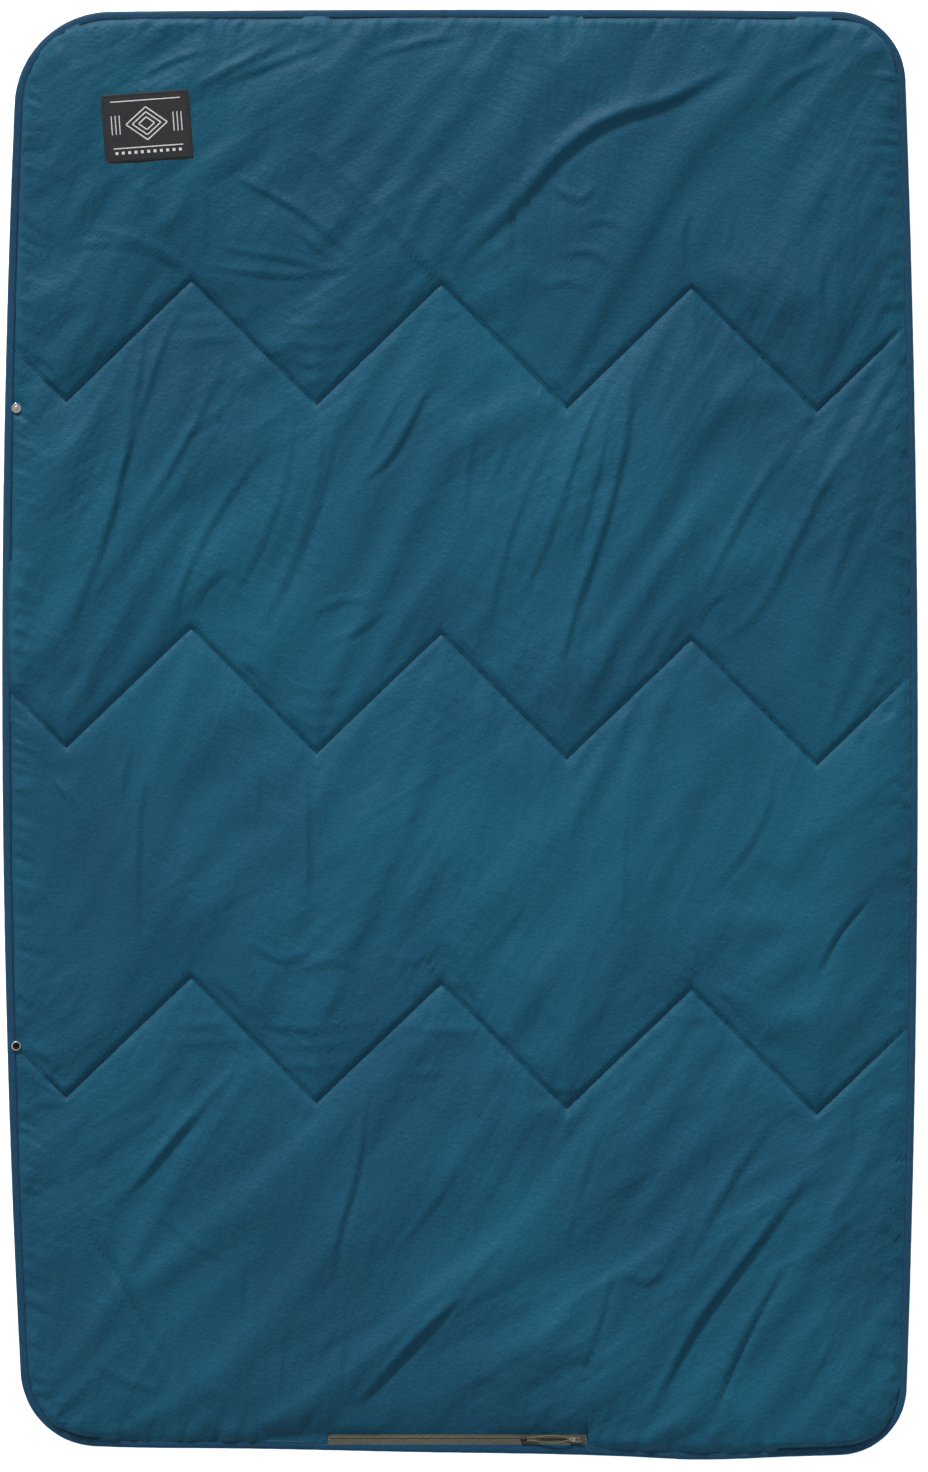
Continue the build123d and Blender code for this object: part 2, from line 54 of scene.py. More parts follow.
# ---------------------------------------------------------------- driving sizes, in millimetres
HEAD_LEFT, HEAD_RIGHT = (-557.0, 911.0, 122.0), (559.0, 912.0, 89.0)
FOOT_LEFT, FOOT_RIGHT = (-550.0, -894.0, 99.0), (561.0, -907.0, 87.0)
SIDE_X, END_Y, FOOT_LOWEST_X = 578.0, 915.0, 120.0
ROW_MIDDLES = (491.0, 50.0, -391.0)
ROW_TILTS = (-0.8, -1.35, -1.35)
ZIGZAG_PITCH, ZIGZAG_DEPTH, PEAK_X = 315.5, 155.0, -24.0
KINKS = [PEAK_X + ZIGZAG_PITCH / 2 * k for k in range(-3, 4)]
SEAM_Z, EDGE_Z, LOFT = 6.9, 6.7, 14.6
BACK_SEAM_Z, BACK_LOW_Z = 2.2, 0.35
ZIP_X0, ZIP_X1, ZIP_Y = -167.0, 160.0, -889.0
PULL_LIES = 74.0                  # the open pull reaches this far past the zip's left end
SHELL_IN = 2.2                    # the shells' edges, inside the binding
BIND_W, STITCH_IN = 11.0, 9.6
SNAP_X, SNAP_STUD_Y, SNAP_SOCKET_Y = -559.7, 411.5, -392.9
SNAP_FLOOR = 8.0                  # the cloth's height under a snap
CELLS_PER_KINK, CELLS_LEFT, CELLS_RIGHT, CELLS_PER_BAND = 17, 8, 11, 49
NEAR_FOOT_Y = -850.0              # the foot edge is below this
JOIN_X = 295.0                    # where the binding's ends overlap
SHEAR_DIRECTION = math.radians(60)
LABEL_AT, LABEL_TILT, LABEL_SIZE = (-394.0, 765.0), math.radians(4.2), (111.0, 87.0)
LABEL_Z = 21.75


# ---------------------------------------------------------------- camera, floor and light
CAMERA_PLACE, LENS, SENSOR = (0.005, -0.002, 5.166), 100.0, 36.0
FLOOR_HALF, FLOOR_Z = 9, -0.0008
FLOOR_GLOW, WORLD_STRENGTH = 0.8, 0.38
SUN_POWER, SUN_ANGLE, SUN_WAY = 3.6, math.radians(9), (0.26, -1.0, -0.46)
SPOTS = (("upper_glow", (-0.08, 0.38, 5.4), 190), ("lower_glow", (0.02, -0.36, 5.4), 150))
SPOT_CONE, SPOT_RADIUS = math.radians(19), 0.4


def make_camera():
    data = bpy.data.cameras.new("camera")
    data.lens, data.sensor_width = LENS, SENSOR
    data.clip_end = 50.0
    cam = bpy.data.objects.new("camera", data)
    cam.location = CAMERA_PLACE
    bpy.context.scene.collection.objects.link(cam)
    bpy.context.scene.camera = cam


def make_stage():
    mesh = bpy.data.meshes.new("floor")
    corners = ((-1, -1), (1, -1), (1, 1), (-1, 1))
    mesh.from_pydata([(FLOOR_HALF * x, FLOOR_HALF * y, 0) for x, y in corners], [], [(0, 1, 2, 3)])
    floor = bpy.data.objects.new("floor", mesh)
    floor.location.z = FLOOR_Z
    mat, nodes, links, shader = new_material("floor")
    shader.inputs["Base Color"].default_value = (0.9, 0.9, 0.9, 1)
    shader.inputs["Roughness"].default_value = 0.9
    shader.inputs["Emission Color"].default_value = (1, 1, 1, 1)
    shader.inputs["Emission Strength"].default_value = FLOOR_GLOW
    mesh.materials.append(mat)
    bpy.context.scene.collection.objects.link(floor)
    world = bpy.data.worlds.new("world")
    world.use_nodes = True
    background = world.node_tree.nodes["Background"]
    background.inputs["Color"].default_value = (1, 1, 1, 1)
    background.inputs["Strength"].default_value = WORLD_STRENGTH
    bpy.context.scene.world = world
    sun = bpy.data.lights.new("key", "SUN")
    sun.energy, sun.angle, sun.color = SUN_POWER, SUN_ANGLE, (1, 0.99, 0.97)
    lamp = bpy.data.objects.new("key", sun)
    lamp.rotation_euler = Vector(SUN_WAY).to_track_quat("-Z", "Y").to_euler()
    bpy.context.scene.collection.objects.link(lamp)
    for name, place, power in SPOTS:
        spot = bpy.data.lights.new(name, "SPOT")
        spot.energy, spot.spot_size, spot.spot_blend = power, SPOT_CONE, 1.0
        spot.shadow_soft_size = SPOT_RADIUS
        lamp = bpy.data.objects.new(name, spot)
        lamp.location = place
        lamp.visible_glossy = False
        bpy.context.scene.collection.objects.link(lamp)
    bpy.context.scene.view_settings.view_transform = "Standard"


# ---------------------------------------------------------------- material helpers
def new_material(name):
    mat = bpy.data.materials.new(name)
    mat.use_nodes = True
    nodes, links = mat.node_tree.nodes, mat.node_tree.links
    shader = nodes["Principled BSDF"]
    return mat, nodes, links, shader


def put(nodes, kind, **values):
    """A node with its properties and sockets set."""
    node = nodes.new(kind)
    for key, value in values.items():
        if key in node.inputs.keys():
            node.inputs[key].default_value = value
        else:
            setattr(node, key, value)
    return node


def coords(nodes, links, scale=(1, 1, 1), rotation=(0, 0, 0)):
    where = put(nodes, "ShaderNodeTexCoord")
    mapping = put(nodes, "ShaderNodeMapping")
    mapping.inputs["Scale"].default_value = scale
    mapping.inputs["Rotation"].default_value = rotation
    links.new(where.outputs["Object"], mapping.inputs["Vector"])
    return mapping.outputs["Vector"]


def ramp(nodes, links, source, stops):
    node = put(nodes, "ShaderNodeValToRGB")
    for i, (at, colour) in enumerate(stops):
        element = node.color_ramp.elements[i] if i < 2 else node.color_ramp.elements.new(at)
        element.position = at
        element.color = (*colour, 1)
    links.new(source, node.inputs["Fac"])
    return node.outputs["Color"]


def bump(nodes, links, height, strength, distance, before=None):
    node = put(nodes, "ShaderNodeBump", Strength=strength, Distance=distance)
    links.new(height, node.inputs["Height"])
    if before is not None:
        links.new(before, node.inputs["Normal"])
    return node.outputs["Normal"]


def math_node(nodes, links, kind, a, b):
    node = put(nodes, "ShaderNodeMath", operation=kind)
    for i, value in enumerate((a, b)):
        if isinstance(value, (int, float)):
            node.inputs[i].default_value = value
        else:
            links.new(value, node.inputs[i])
    return node.outputs[0]


def weave_height(nodes, links, size, rotation=0.0):
    """Plain weave: two crossing sets of threads, with a thread pitch in metres."""
    vector = coords(nodes, links, rotation=(0, 0, rotation))
    waves = []
    for direction in ("X", "Y"):
        wave = put(nodes, "ShaderNodeTexWave", bands_direction=direction, wave_profile="SIN",
                   Scale=1 / size / 3.18)
        links.new(vector, wave.inputs["Vector"])
        waves.append(wave.outputs["Fac"])
    return math_node(nodes, links, "MULTIPLY", waves[0], waves[1])


# Families of crinkles: (lean in degrees, ripples per metre, patches per metre, seed, weight)
CRINKLES = ((24, 88, 5.0, 0.0, 0.35), (6, 95, 4.0, 3.0, 0.35), (-62, 90, 6.0, 12.0, 0.35),
            (30, 30, 3.4, 21.0, 2.0), (58, 34, 3.8, 33.0, 1.6), (4, 28, 3.0, 41.0, 1.8))


def crinkle_height(nodes, links):
    """Fine crinkles of thin cloth: a few families of short narrow ripples, each in its own patches."""
    total = None
    for turn, across, patch, seed, weight in CRINKLES:
        ripple = put(nodes, "ShaderNodeTexNoise", Scale=1.0, Detail=2.0, Roughness=0.4)
        narrow = put(nodes, "ShaderNodeMapping")
        narrow.inputs["Scale"].default_value = (across, across / 6, 40)
        links.new(coords(nodes, links, rotation=(0, 0, math.radians(turn))), narrow.inputs["Vector"])
        links.new(narrow.outputs["Vector"], ripple.inputs["Vector"])
        mask = put(nodes, "ShaderNodeTexNoise", Scale=patch, Detail=1.0)
        mask.noise_dimensions = "4D"
        mask.inputs["W"].default_value = seed
        links.new(coords(nodes, links), mask.inputs["Vector"])
        share = put(nodes, "ShaderNodeMapRange")
        share.inputs["From Min"].default_value, share.inputs["From Max"].default_value = 0.42, 0.62
        links.new(mask.outputs["Fac"], share.inputs["Value"])
        part = math_node(nodes, links, "MULTIPLY", ripple.outputs["Fac"], share.outputs["Result"])
        part = math_node(nodes, links, "MULTIPLY", part, weight)
        total = part if total is None else math_node(nodes, links, "ADD", total, part)
    return total


def cloth_material(name, dark, mid, light, roughness=0.6, sheen=0.25, weave=0.0005, grain=0.35, specular=0.35,
                   crinkle=0.0):
    """Woven cloth: colour that drifts in broad patches and fine threads, with a fine uneven surface. Where
    the dark and light colours differ in hue, as in the teal shell, the broad drift is painted sheen.
    """
    mat, nodes, links, shader = new_material(name)
    # The broad patches are partly painted sheen: in the teal shell they shift the colour between bluer and
    # greener, as the light would.
    broad = put(nodes, "ShaderNodeTexNoise", Scale=3.1, Detail=3.0, Roughness=0.5)
    fine = put(nodes, "ShaderNodeTexNoise", Scale=620.0, Detail=4.0, Roughness=0.7)
    links.new(coords(nodes, links), broad.inputs["Vector"])
    links.new(coords(nodes, links, scale=(1, 0.45, 1)), fine.inputs["Vector"])
    broad_part = math_node(nodes, links, "MULTIPLY", broad.outputs["Fac"], 0.4)
    fine_part = math_node(nodes, links, "MULTIPLY", fine.outputs["Fac"], 0.6)
    blend = math_node(nodes, links, "ADD", broad_part, fine_part)
    colour = ramp(nodes, links, blend, [(0.38, dark), (0.62, light), (0.5, mid)])
    links.new(colour, shader.inputs["Base Color"])
    middle = put(nodes, "ShaderNodeTexNoise", Scale=230.0, Detail=3.0, Roughness=0.6)
    links.new(coords(nodes, links), middle.inputs["Vector"])
    normal = bump(nodes, links, crinkle_height(nodes, links), crinkle, 0.0032) if crinkle else None
    normal = bump(nodes, links, middle.outputs["Fac"], grain, 0.0009, normal)
    normal = bump(nodes, links, fine.outputs["Fac"], grain * 0.6, 0.0003, normal)
    normal = bump(nodes, links, weave_height(nodes, links, weave), 0.25, weave * 0.3, normal)
    links.new(normal, shader.inputs["Normal"])
    rough = math_node(nodes, links, "MULTIPLY_ADD", fine.outputs["Fac"], 0.16)
    rough.node.inputs[2].default_value = roughness - 0.08
    links.new(rough, shader.inputs["Roughness"])
    shader.inputs["Sheen Weight"].default_value = sheen
    shader.inputs["Sheen Roughness"].default_value = 0.45
    shader.inputs["Sheen Tint"].default_value = (*[min(1, c * 2.2 + 0.2) for c in light], 1)
    shader.inputs["Specular IOR Level"].default_value = specular
    return mat


def metal_material(name, colour, roughness, scratch=0.12):
    mat, nodes, links, shader = new_material(name)
    wear = put(nodes, "ShaderNodeTexNoise", Scale=900.0, Detail=3.0)
    links.new(coords(nodes, links, scale=(1, 0.2, 1)), wear.inputs["Vector"])
    dark = tuple(c * 0.82 for c in colour)
    worn = ramp(nodes, links, wear.outputs["Fac"], [(0.35, dark), (0.65, colour)])
    links.new(worn, shader.inputs["Base Color"])
    rough = math_node(nodes, links, "MULTIPLY_ADD", wear.outputs["Fac"], scratch)
    rough.node.inputs[2].default_value = roughness
    links.new(rough, shader.inputs["Roughness"])
    links.new(bump(nodes, links, wear.outputs["Fac"], 0.1, 0.0001), shader.inputs["Normal"])
    shader.inputs["Metallic"].default_value = 1.0
    return mat


# ---------------------------------------------------------------- outline
def through(points):
    """The quadratic through three (at, value) points."""
    return np.polyfit([p[0] for p in points], [p[1] for p in points], 2)


CORNERS = {(-1, 1): HEAD_LEFT, (1, 1): HEAD_RIGHT, (-1, -1): FOOT_LEFT, (1, -1): FOOT_RIGHT}
SIDE_CURVE = {
    side: through([(CORNERS[side, 1][1], CORNERS[side, 1][0]), (0, side * SIDE_X),
                   (CORNERS[side, -1][1], CORNERS[side, -1][0])])
    for side in (-1, 1)
}
END_CURVE = {
    end: through([CORNERS[-1, end][:2], (FOOT_LOWEST_X if end < 0 else 0, end * END_Y), CORNERS[1, end][:2]])
    for end in (-1, 1)
}


def drawn_up(x):
    """How far the zip draws the foot edge up, and how far the binding's join lets it down."""
    x = np.asarray(x, float)
    return 7.4 * np.exp(-((x + 70) / 300) ** 4) - 2.4 * np.exp(-((x - 310) / 70) ** 2)


def end_curve(end, x):
    return np.polyval(END_CURVE[end], x) + (drawn_up(x) if end < 0 else 0)


def corner_arc(side, end, inset=0.0):
    """Centre and radius of a round corner, that far in from the edge."""
    radius = CORNERS[side, end][2]
    cx, cy = CORNERS[side, end][:2]
    for _ in range(6):
        cx = np.polyval(SIDE_CURVE[side], cy) - side * radius
        cy = float(end_curve(end, cx)) - end * radius
    return cx, cy, radius - inset


def side_x(side, y, inset=0.0):
    """X of a side, with its corners' arcs."""
    y = np.asarray(y, float)
    x = np.polyval(SIDE_CURVE[side], y) - side * inset
    for end in (-1, 1):
        cx, cy, radius = corner_arc(side, end, inset)
        past = np.clip((y - cy) * end, 0, radius)
        x = np.where(past > 0, cx + side * np.sqrt(radius ** 2 - past ** 2), x)
    return x


def end_y(end, x, inset=0.0):
    """Y of the head or foot edge, with its corners' arcs."""
    x = np.asarray(x, float)
    y = end_curve(end, x) - end * inset
    for side in (-1, 1):
        cx, cy, radius = corner_arc(side, end, inset)
        past = np.clip((x - cx) * side, 0, radius)
        y = np.where(past > 0, cy + end * np.sqrt(radius ** 2 - past ** 2), y)
    return y


def outline_path(step=3.0):
    """The outline as evenly spaced points, anticlockwise, with outward normals and lengths along it."""
    points = []
    for side, end in ((1, 1), (-1, 1), (-1, -1), (1, -1)):
        cx, cy, radius = corner_arc(side, end)
        turn = [0, 90] if side * end > 0 else [90, 0]
        for a in np.radians(np.linspace(turn[0], turn[1], 60)):
            points.append((cx + side * radius * math.cos(a), cy + end * radius * math.sin(a)))
        if side * end > 0:      # along the head or the foot
            start, stop = cx, corner_arc(-side, end)[0]
            for x in np.linspace(start, stop, 202)[1:-1]:
                points.append((x, float(end_curve(end, x))))
        else:
            start, stop = cy, corner_arc(side, -end)[1]
            for y in np.linspace(start, stop, 302)[1:-1]:
                points.append((float(np.polyval(SIDE_CURVE[side], y)), y))
    points = np.array(points + points[:1])
    length = np.concatenate([[0], np.cumsum(np.linalg.norm(np.diff(points, axis=0), axis=1))])
    count = int(length[-1] / step)
    at = np.linspace(0, length[-1], count, endpoint=False)
    path = np.stack([np.interp(at, length, points[:, i]) for i in (0, 1)], 1)
    for _ in range(4):
        path = (np.roll(path, 1, 0) + 2 * path + np.roll(path, -1, 0)) / 4
    tangent = np.roll(path, -1, 0) - np.roll(path, 1, 0)
    tangent /= np.linalg.norm(tangent, axis=1)[:, None]
    return path, np.stack([tangent[:, 1], -tangent[:, 0]], 1), at


def seam_y(row, x):
    """Y of a quilting seam; row 0 is nearest the head. Rows -1 and 3 are past the ends."""
    x = np.asarray(x, float)
    phase = (x - PEAK_X) / ZIGZAG_PITCH
    phase = np.abs(phase - np.round(phase)) * 2
    return ROW_MIDDLES[row] + x * math.tan(math.radians(ROW_TILTS[row])) + ZIGZAG_DEPTH * (0.5 - phase)


def seam_end(row, side, inset):
    x = side * SIDE_X
    for _ in range(12):
        x = float(side_x(side, seam_y(row, x), inset))
    return x, float(seam_y(row, x))


def seam_line(row, inset):
    kinks = [(x, float(seam_y(row, x))) for x in KINKS]
    return [seam_end(row, -1, inset)] + kinks + [seam_end(row, 1, inset)]


# ---------------------------------------------------------------- the cloth's grid
def coons(low, high, left, right):
    """A patch between four borders of points; low and high run along u, left and right along v."""
    nu, nv = len(low), len(left)
    u, v = np.linspace(0, 1, nu)[None, :, None], np.linspace(0, 1, nv)[:, None, None]
    ruled = (1 - v) * low[None] + v * high[None] + (1 - u) * left[:, None] + u * right[:, None]
    corners = (1 - u) * (1 - v) * low[0] + u * (1 - v) * low[-1] + (1 - u) * v * high[0] + u * v * high[-1]
    return ruled - corners


def half_corner(side, end, inset):
    cx, cy, radius = corner_arc(side, end, inset)
    return cx + side * radius * math.sqrt(0.5), cy + end * radius * math.sqrt(0.5)


def border_row(row, inset, zip_gap, cells):
    """The points along a seam, or along the head (row -1) or foot (row 3), from side to side."""
    between = [np.linspace(a, b, cells[1], endpoint=False) for a, b in zip(KINKS, KINKS[1:])]
    inner = np.concatenate(between + [[KINKS[-1]]])
    if row in (-1, 3):
        end = 1 if row < 0 else -1
        ends = [half_corner(side, end, inset) for side in (-1, 1)]
    else:
        ends = [seam_end(row, side, inset) for side in (-1, 1)]
    left = np.linspace(ends[0][0], KINKS[0], cells[0], endpoint=False)
    right = np.linspace(KINKS[-1], ends[1][0], cells[2] + 1)[1:]
    x = np.concatenate([left, inner, right])
    if row == 3 and zip_gap:
        first, last = np.searchsorted(x, ZIP_X0), np.searchsorted(x, ZIP_X1) - 1
        x[first - 1:first + 1] = ZIP_X0 - 0.5, ZIP_X0 + 0.5
        x[last:last + 2] = ZIP_X1 - 0.5, ZIP_X1 + 0.5
    y = seam_y(row, x) if 0 <= row < 3 else end_y(1 if row < 0 else -1, x, inset)
    if row == 3 and zip_gap:
        y = np.where((x > ZIP_X0) & (x < ZIP_X1), ZIP_Y + 6.3, y)
    return np.stack([x, y], 1)


def cloth_grid(inset, zip_gap, scale=1):
    """Flat positions, foot to head, of a grid whose lines run along the seams, and its rows on the seams."""
    cells = (CELLS_LEFT * scale, CELLS_PER_KINK * scale, CELLS_RIGHT * scale)
    per_band, rows, seam_rows = CELLS_PER_BAND * scale, [], []
    for band in (3, 2, 1, 0):
        low, high = border_row(band, inset, zip_gap, cells), border_row(band - 1, inset, zip_gap, cells)
        v = np.linspace(0, 1, per_band + 1)
        block = low[None] * (1 - v[:, None, None]) + high[None] * v[:, None, None]
        if 0 < band < 3:
            zigzag = seam_y(1, low[:, 0]) - ROW_MIDDLES[1] - low[:, 0] * math.tan(math.radians(ROW_TILTS[1]))
            block[..., 1] -= 0.55 * (np.sin(math.pi * v) ** 2)[:, None] * zigzag
        for side, part in ((-1, slice(0, cells[0] + 1)), (1, slice(len(low) - cells[2] - 1, len(low)))):
            outer = 0 if side < 0 else -1
            a, b = low[part][outer], high[part][outer]
            edge_y = a[1] + (b[1] - a[1]) * v
            edge = np.stack([side_x(side, edge_y, inset), edge_y], 1)
            edge[0], edge[-1] = a, b
            inner = block[:, cells[0] if side < 0 else len(low) - cells[2] - 1]
            borders = (edge, inner) if side < 0 else (inner, edge)
            block[:, part] = coons(low[part], high[part], *borders)
        rows.append(block if not rows else block[1:])
        seam_rows.append(sum(len(r) for r in rows) - 1)
    return np.concatenate(rows), seam_rows[:-1]


def grid_faces(nr, nc, flip=False):
    index = np.arange(nr * nc).reshape(nr, nc)
    quads = np.stack([index[:-1, :-1], index[:-1, 1:], index[1:, 1:], index[1:, :-1]], -1).reshape(-1, 4)
    return (quads[:, ::-1] if flip else quads).tolist()


def make_mesh(name, points, faces, material, smooth=True):
    """A mesh object from points in millimetres."""
    mesh = bpy.data.meshes.new(name)
    mesh.from_pydata((np.asarray(points, float) * MM).tolist(), [], faces)
    mesh.update()
    mesh.materials.append(material)
    if smooth:
        mesh.polygons.foreach_set("use_smooth", [True] * len(mesh.polygons))
    obj = bpy.data.objects.new(name, mesh)
    bpy.context.scene.collection.objects.link(obj)
    return obj


# ---------------------------------------------------------------- height of the padding
def distance_to_line(xy, line):
    """Distance from each point to a run of straight pieces, the share along it, and the side (1 or -1)."""
    best = np.full(len(xy), np.inf)
    along, side = np.zeros(len(xy)), np.ones(len(xy))
    line = np.asarray(line, float)
    lengths = np.linalg.norm(np.diff(line, axis=0), axis=1)
    total, done = lengths.sum(), 0.0
    for a, b, long in zip(line, line[1:], lengths):
        d = (b - a) / long
        t = np.clip((xy - a) @ d, 0, long)
        off = xy - (a + t[:, None] * d)
        far = np.linalg.norm(off, axis=1)
        closer = far < best
        best = np.where(closer, far, best)
        along = np.where(closer, (done + t) / total, along)
        side = np.where(closer, np.where(d[0] * off[:, 1] - d[1] * off[:, 0] > 0, 1.0, -1.0), side)
        done += long
    return best, along, side


def swell(distance, reach, power=2.2):
    """From 0 at a seam to 1 beyond reach, steep at the seam and level at the top."""
    t = 1 - np.clip(distance / reach, 0, 1)
    return np.sqrt(1 - t ** power)


def edge_distance(xy):
    sides = np.minimum(xy[:, 0] - side_x(-1, xy[:, 1]), side_x(1, xy[:, 1]) - xy[:, 0])
    ends = np.minimum(end_y(1, xy[:, 0]) - xy[:, 1], xy[:, 1] - end_y(-1, xy[:, 0]))
    return np.maximum(np.minimum(sides, ends), 0)


def fields(xy):
    """Distances that the shapes need: to the nearest seam and to the edge."""
    seams = np.stack([distance_to_line(xy, seam_line(row, SHELL_IN))[0] for row in range(3)])
    return seams, edge_distance(xy)


def noise_field(xy, size, seed, stretch=(1.0, 1.0), angle=0.0):
    """Smooth noise about -1 to 1, with lumps about that long, stretched along an angle."""
    c, s = math.cos(angle), math.sin(angle)
    u = (xy[:, 0] * c + xy[:, 1] * s) / (size * stretch[0])
    v = (-xy[:, 0] * s + xy[:, 1] * c) / (size * stretch[1])
    return np.array([noise.noise((a, b, seed)) for a, b in zip(u, v)])


